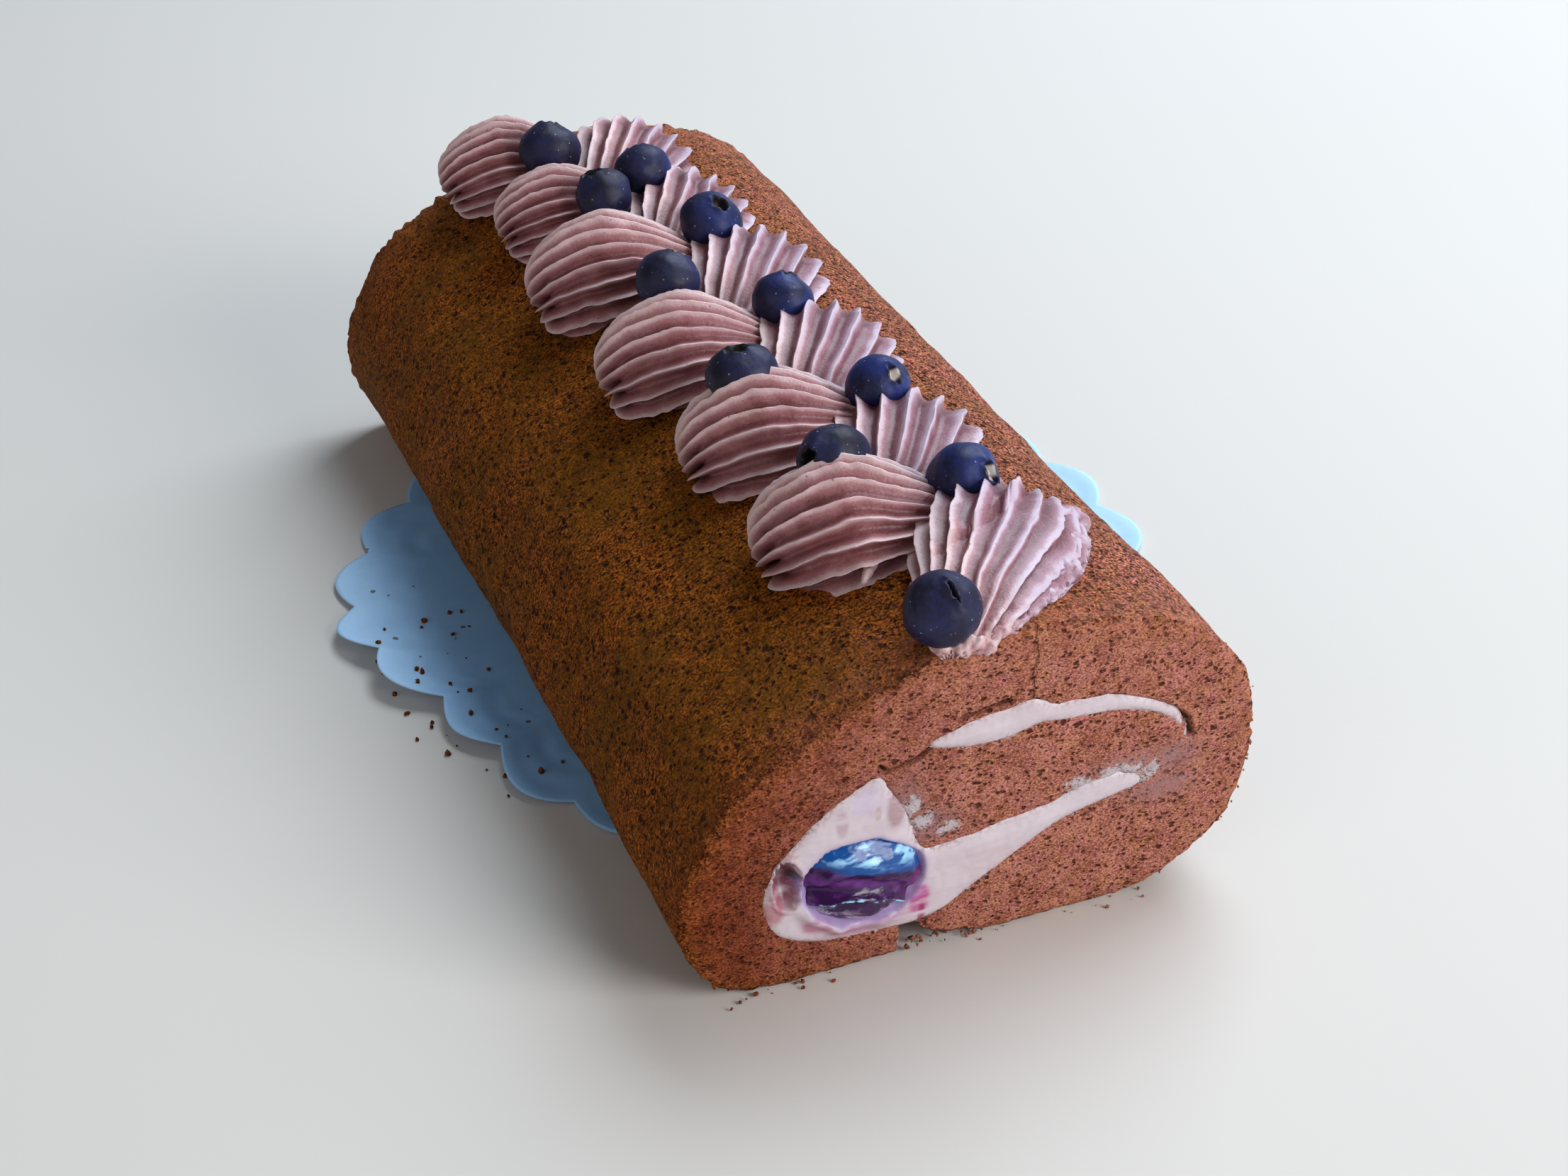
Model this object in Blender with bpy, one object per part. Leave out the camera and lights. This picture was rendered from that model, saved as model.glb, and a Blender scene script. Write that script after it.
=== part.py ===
"""A chocolate cake roll: a rolled sponge with cream inside, cut clean at both ends, two rows of
piped cream shells and blueberries along its top, and the round scalloped paper it lies on.

Frame: the origin is on the table under the middle of the roll, +Y runs along the roll away from
the cut face that shows, +X is to the right of that face, and +Z is up. Lengths are in metres.
"""
from math import cos, pi, radians, sin

import bmesh
import bpy
import numpy as np
from mathutils import Matrix, Vector

MM = 0.001

# Driving sizes of the roll
ROLL_LENGTH = 184 * MM
ROLL_WIDTH = 90 * MM
ROLL_HEIGHT = 52 * MM
FAR_END_RISE = 0.07      # the far end stands this share taller than the near one
FAR_END_DRIFT = 3 * MM   # and lies this far to the left
NEAR_FACE = -ROLL_LENGTH / 2
STATIONS = 9             # cross sections along the roll
GAP = 0.3 * MM           # room between pieces that touch
SHARPEST_MITRE = 0.25    # keeps the corner of a grown outline from running out too far

# Cut face of the roll, as shares of its half width and of its height, going round anticlockwise
# from the clean-cut end of the sponge sheet underneath
ROLL_OUTLINE = [
    (0.10, 0.0), (0.45, 0.0), (0.68, 0.03), (0.88, 0.15), (0.97, 0.29), (1.0, 0.48), (0.965, 0.66),
    (0.84, 0.82), (0.62, 0.93), (0.26, 1.0), (0.0, 1.0), (-0.26, 0.945), (-0.59, 0.81),
    (-0.82, 0.675), (-0.93, 0.52), (-0.995, 0.38), (-0.995, 0.25), (-0.94, 0.13), (-0.84, 0.03),
    (-0.68, 0.0), (-0.45, 0.0),
]
OUTLINE_SAMPLES = 56

# Cream between the outer wrap and the tongue of sponge, in mm on the cut face
UPPER_CREAM_OUTLINE = [
    (-7.6, 36.7), (-2.2, 35.1), (2.3, 34.8), (5.8, 35.2), (9.6, 36.1), (14.0, 35.6), (21.0, 35.1),
    (26.5, 33.6), (30.6, 31.3), (32.6, 29.2), (31.6, 32.0), (28.2, 34.9), (24.4, 36.7),
    (20.6, 37.9), (15.2, 38.4), (11.6, 38.7), (8.4, 40.3), (5.2, 40.0), (1.1, 39.7), (-4.1, 38.5),
]
UPPER_CREAM_SAMPLES = 28

# The large cream pocket under the tongue of sponge
FILLING_OUTLINE = [
    (-12.6, 5.7), (-8.0, 5.8), (-4.0, 7.1), (1.1, 10.2), (7.1, 13.9), (13.0, 17.2), (20.3, 19.1),
    (26.4, 20.6), (24.6, 23.0), (18.2, 23.1), (11.0, 21.1), (3.9, 20.0), (-5.0, 18.5),
    (-8.8, 19.2), (-11.0, 25.8), (-13.6, 30.4), (-15.4, 33.6), (-18.9, 32.0), (-23.7, 28.8),
    (-28.6, 24.2), (-31.4, 20.3), (-32.6, 16.0), (-31.4, 11.2), (-28.2, 8.2), (-22.0, 6.3),
]
FILLING_SAMPLES = 40

# The slit under the cream, between the cut end of the sheet and the thin torn edge of the layer
# beside it. Its top reaches into the cream pocket.
SLIT_OUTLINE = [
    (-11.7, -2.0), (1.5, -2.0), (0.6, 0.5), (-3.7, 1.6), (-6.9, 2.8), (-9.0, 4.6), (-9.0, 6.6),
    (-11.7, 6.6),
]

# A blueberry caught in the filling at each cut face, and the small hollow beside the near one
FILLING_BERRY_PLACE = (-17.8, 15.6)
FILLING_BERRY_RADII = (9.8 * MM, 5.2 * MM, 7.2 * MM)
FILLING_BERRY_DEPTH = 3.4 * MM    # from the cut face to the berry's middle
HOLLOW_PLACE = (-29.6, 19.2)
HOLLOW_RADII = (1.9 * MM, 3.0 * MM, 2.9 * MM)

# Piped shells: one row on each side of the top, about 29 mm apart. A place is that of the fattest
# ring, in mm to the right of the roll's middle and back from the near face, and the shell's size.
SHELL_ROWS = 9           # rings from the head to the tail
SAMPLES_A_RIB = 3
RIB_DEPTH = 0.15         # of the radius
SHELL_SIDES = {
    # height of the fattest ring's middle, heading of the tail and lean to the side in degrees,
    # and the sizes of the shell in mm
    "left": dict(z=51.5, heading=-24, lean=-15, head=15.0, tail=18.0, taper=0.62, width=30.0,
                 height=11.5, bend=0.016, ribs=14,
                 places=[(-4.0, 34.5, 1.0), (-4.5, 63.5, 1.0), (-8.0, 92.5, 0.98),
                         (-9.0, 125.0, 1.0), (-9.2, 151.5, 0.82), (-12.4, 173.0, 0.86)]),
    "right": dict(z=50.0, heading=-128, lean=14, head=13.0, tail=27.0, taper=0.35, width=29.0,
                  height=10.5, bend=0.012, ribs=16,
                  places=[(11.8, 19.0, 1.05), (12.5, 53.5, 1.0), (12.5, 84.5, 1.0),
                          (12.5, 115.0, 1.0), (11.0, 143.0, 0.93), (9.5, 167.5, 0.93)]),
}

# Blueberries on top: x, y and height of the middle in mm, radius across and half length along the
# axis of the crown in mm, and the way the crown points
BERRY_SEGMENTS = 10
TOP_BERRIES = [
    (-4.8, 3.8, 57.2, 6.4, 5.7, (0.35, 0.10, 0.95)),
    (-3.3, 44.4, 58.0, 5.7, 6.6, (-0.85, -0.35, 0.35)),
    (-7.1, 71.9, 58.6, 5.7, 5.1, (-0.20, 0.10, 1.00)),
    (-6.5, 107.2, 59.2, 5.6, 5.0, (0.50, 0.30, 0.80)),
    (-5.1, 142.0, 60.0, 5.4, 4.9, (-0.40, 0.20, 0.90)),
    (-8.0, 163.4, 60.8, 5.8, 5.2, (0.10, 0.40, 0.90)),
    (11.2, 32.0, 58.6, 5.4, 6.7, (0.80, -0.45, 0.32)),
    (10.3, 60.5, 59.2, 5.4, 5.8, (0.70, -0.30, 0.65)),
    (8.0, 92.2, 59.4, 5.2, 4.9, (0.30, 0.20, 0.95)),
    (8.0, 124.0, 60.2, 5.6, 5.1, (0.20, -0.40, 0.90)),
    (4.4, 147.9, 60.8, 5.2, 4.8, (-0.10, 0.50, 0.85)),
]

# Scalloped paper under the roll
PAPER_RADIUS = 74.5 * MM
PAPER_CENTRE = (4 * MM, 8 * MM)
PAPER_THICKNESS = 0.5 * MM
SCALLOPS = 24
SCALLOP_DEPTH = 4 * MM
SAMPLES_A_SCALLOP = 5
PAPER_PULL = 8 * MM      # its rumpled edge is drawn in on the left, by this much
PAPER_PULL_HEADING = radians(200)
PAPER_PULL_SPREAD = radians(20)

COLOURS = {
    # base colour, roughness
    "sponge": ((0.105, 0.042, 0.022), 0.92),
    "filling_cream": ((0.62, 0.47, 0.44), 0.45),
    "piped_cream": ((0.40, 0.20, 0.17), 0.55),
    "blueberry": ((0.012, 0.012, 0.028), 0.55),
    "cut_blueberry": ((0.040, 0.008, 0.050), 0.20),
    "paper": ((0.70, 0.78, 0.86), 0.80),
}


def clear_scene():
    for thing in list(bpy.data.objects):
        bpy.data.objects.remove(thing, do_unlink=True)


def material(name):
    """The named finish, made once."""
    found = bpy.data.materials.get(name)
    if found:
        return found
    colour, roughness = COLOURS[name]
    made = bpy.data.materials.new(name)
    made.use_nodes = True
    shader = made.node_tree.nodes["Principled BSDF"]
    shader.inputs["Base Color"].default_value = (*colour, 1.0)
    shader.inputs["Roughness"].default_value = roughness
    shader.inputs["Metallic"].default_value = 0.0
    return made


def add_object(name, vertices, faces, finish=None):
    mesh = bpy.data.meshes.new(name)
    mesh.from_pydata([tuple(v) for v in vertices], [], faces)
    mesh.validate()
    turn_faces_out(mesh)
    made = bpy.data.objects.new(name, mesh)
    bpy.context.collection.objects.link(made)
    if finish:
        mesh.materials.append(material(finish))
    return made


def turn_faces_out(mesh):
    work = bmesh.new()
    work.from_mesh(mesh)
    bmesh.ops.recalc_face_normals(work, faces=work.faces)
    work.to_mesh(mesh)
    work.free()


def smooth_loop(points, samples):
    """A closed Catmull-Rom curve through the points, at even spacing."""
    points = np.asarray(points, float)
    fine = []
    share = np.linspace(0, 1, 20, endpoint=False)[:, None]
    for i in range(len(points)):
        before, start, end, after = (points[(i + k) % len(points)] for k in (-1, 0, 1, 2))
        fine.append(0.5 * (2 * start + (end - before) * share
                           + (2 * before - 5 * start + 4 * end - after) * share ** 2
                           + (3 * start - before - 3 * end + after) * share ** 3))
    fine = np.concatenate(fine)
    steps = np.linalg.norm(np.roll(fine, -1, axis=0) - fine, axis=1)
    travelled = np.concatenate([[0], np.cumsum(steps)])
    wanted = np.linspace(0, travelled[-1], samples, endpoint=False)
    closed = np.vstack([fine, fine[:1]])
    return np.stack([np.interp(wanted, travelled, closed[:, k]) for k in (0, 1)], axis=1)


def grow_loop(loop, amount):
    """The loop with each side moved outwards by an amount. The loop runs anticlockwise."""
    along = np.roll(loop, -1, axis=0) - loop
    along /= np.linalg.norm(along, axis=1)[:, None]
    out = np.stack([along[:, 1], -along[:, 0]], axis=1)
    before = np.roll(out, 1, axis=0)
    shared = 1 + (out * before).sum(axis=1)
    return loop + amount * (out + before) / np.maximum(shared, SHARPEST_MITRE)[:, None]


def roll_section():
    shares = np.asarray(ROLL_OUTLINE)
    loop = smooth_loop(shares * (ROLL_WIDTH / 2, ROLL_HEIGHT), OUTLINE_SAMPLES)
    return np.maximum(loop, (-ROLL_WIDTH, 0))


def place_on_roll(x, y, z):
    """A point of the near cut face carried back to y: the roll drifts left and grows taller."""
    share = (y - NEAR_FACE) / ROLL_LENGTH
    return x - FAR_END_DRIFT * share ** 2, y, z * (1 + FAR_END_RISE * share ** 2)


def loft(name, loop, y_start, y_end, finish=None):
    """The loop of the cut face carried along the roll, closed at both ends."""
    vertices = []
    for y in np.linspace(y_start, y_end, STATIONS):
        vertices += [place_on_roll(x, y, z) for x, z in loop]
    count = len(loop)
    faces = []
    for ring in range(STATIONS - 1):
        for i in range(count):
            j = (i + 1) % count
            faces.append((ring * count + i, ring * count + j,
                          (ring + 1) * count + j, (ring + 1) * count + i))
    faces.append(tuple(range(count)))
    faces.append(tuple(range((STATIONS - 1) * count, STATIONS * count)))
    return add_object(name, vertices, faces, finish)


def close_grid(rows, columns):
    """Faces of a closed skin: a start point, rows of rings with columns points, an end point."""
    last = 1 + rows * columns
    faces = []
    for i in range(columns):
        j = (i + 1) % columns
        faces.append((0, 1 + j, 1 + i))
        faces.append((last, last - columns + i, last - columns + j))
        for row in range(rows - 1):
            a = 1 + row * columns
            faces.append((a + i, a + j, a + columns + j, a + columns + i))
    return faces


def ellipsoid(name, centre, radii, finish=None, segments=12, rings=7):
    vertices = [(0, 0, -1)]
    for ring in range(1, rings + 1):
        level = pi * ring / (rings + 1)
        for i in range(segments):
            turn = 2 * pi * i / segments
            vertices.append((sin(level) * cos(turn), sin(level) * sin(turn), -cos(level)))
    vertices.append((0, 0, 1))
    vertices = np.asarray(vertices) * radii + centre
    return add_object(name, vertices, close_grid(rings, segments), finish)


def carve(target, *cutters):
    """Cuts each cutter out of the target, applies the result and keeps its largest piece."""
    for cutter in cutters:
        cut = target.modifiers.new(cutter.name, "BOOLEAN")
        cut.operation = "DIFFERENCE"
        cut.object = cutter
    bpy.context.view_layer.update()
    evaluated = target.evaluated_get(bpy.context.evaluated_depsgraph_get())
    result = bpy.data.meshes.new_from_object(evaluated)
    target.modifiers.clear()
    target.data = result
    keep_largest_piece(result)


def keep_largest_piece(mesh):
    """Deletes every loose scrap of the mesh but the one with the most vertices."""
    work = bmesh.new()
    work.from_mesh(mesh)
    bmesh.ops.remove_doubles(work, verts=work.verts, dist=0.01 * MM)
    bmesh.ops.dissolve_degenerate(work, edges=work.edges, dist=0.005 * MM)
    left = set(work.verts)
    pieces = []
    while left:
        seed = left.pop()
        piece = {seed}
        edge = [seed]
        while edge:
            near = {e.other_vert(v) for v in edge for e in v.link_edges} - piece
            piece |= near
            edge = list(near)
        left -= piece
        pieces.append(piece)
    pieces.sort(key=len, reverse=True)
    scraps = [v for piece in pieces[1:] for v in piece]
    bmesh.ops.delete(work, geom=scraps, context="VERTS")
    work.to_mesh(mesh)
    work.free()


def remove(things):
    for thing in things:
        bpy.data.objects.remove(thing, do_unlink=True)


def paper_outline(radius):
    """Round lobes that meet in small notches."""
    count = SCALLOPS * SAMPLES_A_SCALLOP
    turn = 2 * pi * np.arange(count) / count
    reach = radius - SCALLOP_DEPTH * (1 - np.abs(np.sin(SCALLOPS * turn / 2)))
    reach -= PAPER_PULL * np.exp(-((turn - PAPER_PULL_HEADING) / PAPER_PULL_SPREAD) ** 2)
    return np.stack([PAPER_CENTRE[0] + reach * np.cos(turn),
                     PAPER_CENTRE[1] + reach * np.sin(turn)], axis=1)


def flat_slab(name, outline, bottom, top, finish=None):
    count = len(outline)
    vertices = [(x, y, bottom) for x, y in outline] + [(x, y, top) for x, y in outline]
    faces = [tuple(range(count)), tuple(range(count, 2 * count))]
    faces += [(i, (i + 1) % count, count + (i + 1) % count, count + i) for i in range(count)]
    return add_object(name, vertices, faces, finish)


def make_paper():
    flat_slab("paper_doily", paper_outline(PAPER_RADIUS), 0, PAPER_THICKNESS, "paper")


def on_face(points):
    return np.asarray(points) * MM


def make_sponge():
    """The rolled sheet: the outer wrap and the tongue, open where the cream and the slit are."""
    margin = 5 * MM
    upper = grow_loop(smooth_loop(on_face(UPPER_CREAM_OUTLINE), UPPER_CREAM_SAMPLES), GAP)
    pocket = grow_loop(smooth_loop(on_face(FILLING_OUTLINE), FILLING_SAMPLES), GAP)
    ends = (NEAR_FACE - margin, -NEAR_FACE + margin)
    sponge = loft("sponge", roll_section(), NEAR_FACE, -NEAR_FACE, "sponge")
    cutters = [
        loft("upper_cream_room", upper, *ends),
        loft("filling_room", pocket, *ends),
        loft("slit_room", on_face(SLIT_OUTLINE), *ends),
        flat_slab("paper_room", paper_outline(PAPER_RADIUS + 2 * GAP), -margin,
                  PAPER_THICKNESS + GAP),
    ]
    carve(sponge, *cutters)
    remove(cutters)


def filling_berry(name, face_y, inward, grow=0.0, finish=None):
    x, z = FILLING_BERRY_PLACE
    middle = place_on_roll(x * MM, face_y + inward * FILLING_BERRY_DEPTH, z * MM)
    return ellipsoid(name, middle, np.asarray(FILLING_BERRY_RADII) + grow, finish)


def make_creams():
    """Both layers of cream run the whole length. A berry sits in the filling at each face."""
    loft("cream_upper_layer", smooth_loop(on_face(UPPER_CREAM_OUTLINE), UPPER_CREAM_SAMPLES),
         NEAR_FACE, -NEAR_FACE, "filling_cream")
    filling = loft("cream_filling", smooth_loop(on_face(FILLING_OUTLINE), FILLING_SAMPLES),
                   NEAR_FACE, -NEAR_FACE, "filling_cream")
    x, z = HOLLOW_PLACE
    rooms = [
        filling_berry("near_berry_room", NEAR_FACE, 1, GAP),
        filling_berry("far_berry_room", -NEAR_FACE, -1, GAP),
        ellipsoid("hollow_room", (x * MM, NEAR_FACE, z * MM), HOLLOW_RADII, segments=8, rings=4),
    ]
    carve(filling, *rooms)
    remove(rooms)
    filling_berry("filling_blueberry_near", NEAR_FACE, 1, finish="cut_blueberry")
    filling_berry("filling_blueberry_far", -NEAR_FACE, -1, finish="cut_blueberry")


def shell_points(side, grow=0.0, ribbed=True):
    """A lying teardrop about its own axis, its head at -X and its tail at +X.

    The rings run from the head pole to the tail pole. Ridges run along them from pole to pole:
    sharp crests with wide round valleys. The axis then bends down towards both poles, so that
    the ridges curl under the head.
    """
    columns = side["ribs"] * SAMPLES_A_RIB if ribbed else side["ribs"]
    level = pi * np.arange(1, SHELL_ROWS + 1) / (SHELL_ROWS + 1)
    turn = 2 * pi * np.arange(columns) / columns
    reach = np.where(level < pi / 2, side["head"], side["tail"])
    along = -reach * np.cos(level)
    taper = 1 - side["taper"] * np.clip(along / side["tail"], 0, 1)
    valley = np.abs(np.sin(side["ribs"] * turn / 2)) if ribbed else 0 * turn
    size = (np.sin(level) * taper)[:, None] * (1 - RIB_DEPTH * valley)[None, :]
    x = np.repeat(along[:, None], columns, axis=1)
    y = (side["width"] / 2 + grow) * size * np.cos(turn)
    z = (side["height"] + grow) * size * np.sin(turn)
    ends = np.array([(-side["head"] - grow, 0, 0), (side["tail"] + grow, 0, 0)])
    points = np.vstack([ends[:1], np.stack([x, y, z], axis=-1).reshape(-1, 3), ends[1:]])
    points[:, 2] -= side["bend"] * points[:, 0] ** 2
    return points, columns


def shell(name, side, index, grow=0.0, ribbed=True, finish=None):
    points, columns = shell_points(side, grow, ribbed)
    x, y, size = side["places"][index]
    place = Vector(place_on_roll(x * MM, NEAR_FACE + y * MM, side["z"] * MM))
    turn = Matrix.Rotation(radians(side["lean"]), 4, "Y")
    turn = turn @ Matrix.Rotation(radians(side["heading"]), 4, "Z")
    moved = [Matrix.Translation(place) @ turn @ Vector(p) for p in points * size * MM]
    return add_object(name, moved, close_grid(SHELL_ROWS, columns), finish)


def berry_turn(crown):
    return Vector(crown).to_track_quat("Z", "Y").to_matrix().to_4x4()


def top_berry(name, spec, grow=0.0, finish=None):
    """A blueberry turned about its crown's axis, with the crown's shallow dish at the top."""
    x, y, z, radius, half, crown = spec
    radius = radius * MM + grow
    half = half * MM + grow
    profile = [(0.42, -0.90), (0.82, -0.55), (1.0, 0.0), (0.84, 0.55), (0.50, 0.90), (0.34, 1.0),
               (0.22, 0.82)]
    dish = 0.74
    if grow:
        profile = profile[:6]
        dish = 1.0
    vertices = [(0, 0, -half)]
    for out, up in profile:
        for i in range(BERRY_SEGMENTS):
            turn = 2 * pi * i / BERRY_SEGMENTS
            vertices.append((radius * out * cos(turn), radius * out * sin(turn), half * up))
    vertices.append((0, 0, half * dish))
    place = Vector(place_on_roll(x * MM, NEAR_FACE + y * MM, 0))
    place.z = z * MM
    turn = Matrix.Translation(place) @ berry_turn(crown)
    moved = [turn @ Vector(v) for v in vertices]
    return add_object(name, moved, close_grid(len(profile), BERRY_SEGMENTS), finish)


def make_topping():
    """Shells from the near end to the far one. Each gives way to the sponge, to the berries and
    to the shells before it, which were pressed against it."""
    sponge_room = loft("sponge_room", grow_loop(roll_section(), GAP), NEAR_FACE - 20 * MM,
                       -NEAR_FACE + 20 * MM)
    berry_rooms = []
    for number, spec in enumerate(TOP_BERRIES, start=1):
        top_berry(f"blueberry_{number:02d}", spec, finish="blueberry")
        berry_rooms.append(top_berry(f"berry_room_{number}", spec, grow=GAP))
    shell_rooms = []
    for index in range(len(SHELL_SIDES["left"]["places"])):
        for side_name, side in SHELL_SIDES.items():
            piece = shell(f"shell_{side_name}_{index + 1}", side, index, finish="piped_cream")
            carve(piece, sponge_room, *berry_rooms, *shell_rooms[-4:])
            shell_rooms.append(shell(f"shell_room_{side_name}_{index + 1}", side, index,
                                     grow=GAP / MM, ribbed=False))
    remove([sponge_room, *berry_rooms, *shell_rooms])


clear_scene()
make_paper()
make_sponge()
make_creams()
make_topping()
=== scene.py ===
"""Looks of a chocolate cake roll: a porous rolled sponge with cream inside, two rows of piped
cream shells and blueberries along its top, and the scalloped paper it lies on.

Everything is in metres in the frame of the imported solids: the origin is on the table under the
middle of the roll, +Y runs along it away from the cut face that shows, +X is to the right of that
face and +Z is up. Each piece is a mesh worked out with numpy around the solid that it replaces.
"""

import logging
from collections.abc import Callable
from dataclasses import dataclass, replace
from enum import Enum
from itertools import combinations

import bpy
import numpy as np
from mathutils import Euler, Matrix, Vector
from mathutils.geometry import delaunay_2d_cdt


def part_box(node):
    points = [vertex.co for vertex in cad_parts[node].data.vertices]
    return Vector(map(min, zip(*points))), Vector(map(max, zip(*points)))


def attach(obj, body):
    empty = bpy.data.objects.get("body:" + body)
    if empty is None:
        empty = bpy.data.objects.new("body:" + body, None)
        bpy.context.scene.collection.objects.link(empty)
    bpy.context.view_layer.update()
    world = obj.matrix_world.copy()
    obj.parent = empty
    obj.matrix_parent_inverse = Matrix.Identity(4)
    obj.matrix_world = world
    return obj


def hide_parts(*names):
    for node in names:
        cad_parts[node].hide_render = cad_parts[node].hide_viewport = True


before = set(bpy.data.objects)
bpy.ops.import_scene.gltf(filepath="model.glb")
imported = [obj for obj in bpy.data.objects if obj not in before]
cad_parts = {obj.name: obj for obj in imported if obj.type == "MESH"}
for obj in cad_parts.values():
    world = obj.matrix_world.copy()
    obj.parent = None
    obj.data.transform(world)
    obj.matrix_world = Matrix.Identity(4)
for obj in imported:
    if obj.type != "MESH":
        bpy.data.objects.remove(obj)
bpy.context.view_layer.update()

LOG = logging.getLogger("cake_roll")
BODY = "root"
MM = 0.001
BLOCK = 4096  # points compared with an outline at a time

Array = np.ndarray
Colour = tuple[float, float, float]
Socket = bpy.types.NodeSocket


# Noise on whole arrays of points

def hashed(cells: Array, seed: int) -> Array:
    """A number from 0 to 1 for each whole-number cell, the same at every run.

    Formula: the cell's three numbers and the seed are each multiplied by a large prime and added,
    and the sum is mixed twice by shifting and multiplying.

    Args:
        cells: whole numbers, three to a cell.
        seed: picks one of many such fields.

    Returns:
        One number for each cell.
    """
    primes = np.array((73856093, 19349663, 83492791))
    keys = (cells.astype(np.int64) @ primes + seed * 40503) & 0xFFFFFFFF
    keys = ((keys ^ (keys >> 15)) * 0x2C1B3C6D) & 0xFFFFFFFF
    keys = ((keys ^ (keys >> 12)) * 0x297A2D39) & 0xFFFFFFFF
    return (keys ^ (keys >> 15)) / 0xFFFFFFFF


def smooth_noise(points: Array, size: float, seed: int) -> Array:
    """Soft random waves, from -1 to 1.

    Formula: each corner of a cubic lattice of the given size has a hashed number, and a point
    takes the numbers of the eight corners round it, blended by 3t² - 2t³ along each axis.

    Args:
        points: places, three numbers each.
        size: side of a lattice cell, about half a wave.
        seed: picks one of many such fields.

    Returns:
        One number for each point.
    """
    scaled = points / size
    low = np.floor(scaled)
    blend = scaled - low
    blend = blend * blend * (3 - 2 * blend)
    total = np.zeros(points.shape[:-1])
    for corner in np.ndindex(2, 2, 2):
        weight = np.where(np.array(corner) == 1, blend, 1 - blend).prod(axis=-1)
        total += weight * hashed(low + corner, seed)
    return 2 * total - 1


def waves(points: Array, seed: int, *sorts: tuple[float, float]) -> Array:
    """A sum of soft random waves.

    Args:
        points: places, three numbers each.
        seed: picks the first field; each further sort takes the next one.
        sorts: the height and the size of each sort of wave.

    Returns:
        One number for each point.
    """
    return sum(height * smooth_noise(points, size, seed + step)
               for step, (height, size) in enumerate(sorts))


def pores(points: Array, spacing: float, seed: int, smallest: float, largest: float) -> Array:
    """How deep each point lies in a field of round pores, 0 outside and 1 at a pore's middle.

    Formula: each cubic cell holds one pore with a hashed centre, and a radius that runs from the
    smallest to the largest share of the spacing with the square of a hashed number. At distance d
    from the centre the depth is 1 - (d / radius)², and the deepest of the 27 cells round the
    point counts.

    Args:
        points: places, three numbers each.
        spacing: side of a cell.
        seed: picks one of many such fields.
        smallest: least radius, as a share of the spacing.
        largest: greatest radius, as a share of the spacing.

    Returns:
        One depth for each point.
    """
    scaled = points / spacing
    low = np.floor(scaled)
    deepest = np.zeros(points.shape[:-1])
    for step in np.ndindex(3, 3, 3):
        cell = low + np.array(step) - 1
        centre = cell + np.stack([hashed(cell, seed + axis) for axis in range(3)], axis=-1)
        radius = smallest + (largest - smallest) * hashed(cell, seed + 3) ** 2
        away = ((scaled - centre) ** 2).sum(axis=-1)
        deepest = np.maximum(deepest, 1 - away / radius ** 2)
    return deepest


# Outlines on the cut face

def smooth_curve(corners: Array, closed: bool = True, steps: int = 40) -> Array:
    """A Catmull-Rom curve through the corners.

    Formula: between two corners the curve is the usual cubic of those two and the ones before
    and after them; an open curve repeats its first and last corner.

    Args:
        corners: points that the curve passes through.
        closed: whether it joins up with its start.
        steps: points worked out for each stretch.

    Returns:
        The curve's points.
    """
    share = np.linspace(0, 1, steps, endpoint=False)[None, :, None]
    if closed:
        around = [np.roll(corners, shift, axis=0)[:, None] for shift in (1, 0, -1, -2)]
    else:
        long = np.vstack([corners[:1], corners, corners[-1:]])
        around = [long[k:len(long) - 3 + k][:, None] for k in range(4)]
    before, start, end, after = around
    curve = 0.5 * (2 * start + (end - before) * share
                   + (2 * before - 5 * start + 4 * end - after) * share ** 2
                   + (3 * start - before - 3 * end + after) * share ** 3)
    curve = curve.reshape(-1, corners.shape[1])
    return curve if closed else np.vstack([curve, corners[-1:]])


def respace(path: Array, spacing: Array | float, closed: bool = False) -> Array:
    """The path with its points at the wanted spacing, by linear steps along its length.

    Args:
        path: points of the path.
        spacing: distance wanted, one for all or one for each side of the path.
        closed: whether the path joins up with its start.

    Returns:
        The new points.
    """
    if closed:
        path = np.vstack([path, path[:1]])
    sides = np.linalg.norm(np.diff(path, axis=0), axis=1) / spacing
    travelled = np.concatenate([[0], np.cumsum(sides)])
    wanted = np.linspace(0, travelled[-1], max(2, round(travelled[-1])) + 1)
    if closed:
        wanted = wanted[:-1]
    return np.stack([np.interp(wanted, travelled, path[:, k]) for k in (0, 1)], axis=1)


def outward(loop: Array) -> Array:
    """The direction out of the solid at each point of a loop that has the solid on its left."""
    along = np.roll(loop, -1, axis=0) - np.roll(loop, 1, axis=0)
    out = np.stack([along[:, 1], -along[:, 0]], axis=1)
    return out / np.linalg.norm(out, axis=1)[:, None]


def inside(points: Array, loops: list[Array]) -> Array:
    """Whether each point lies inside the loops, by an even-odd count of the sides to its right."""
    start = np.vstack(loops)
    end = np.vstack([np.roll(loop, -1, axis=0) for loop in loops])
    rise = end[:, 1] - start[:, 1]
    slope = (end[:, 0] - start[:, 0]) / np.where(rise == 0, 1, rise)
    found = np.zeros(len(points), bool)
    for first in range(0, len(points), BLOCK):
        block = points[first:first + BLOCK, None, :]
        spans = (start[:, 1] > block[..., 1]) != (end[:, 1] > block[..., 1])
        crossing = start[:, 0] + (block[..., 1] - start[:, 1]) * slope
        found[first:first + BLOCK] = (spans & (block[..., 0] < crossing)).sum(axis=1) % 2 == 1
    return found


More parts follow.
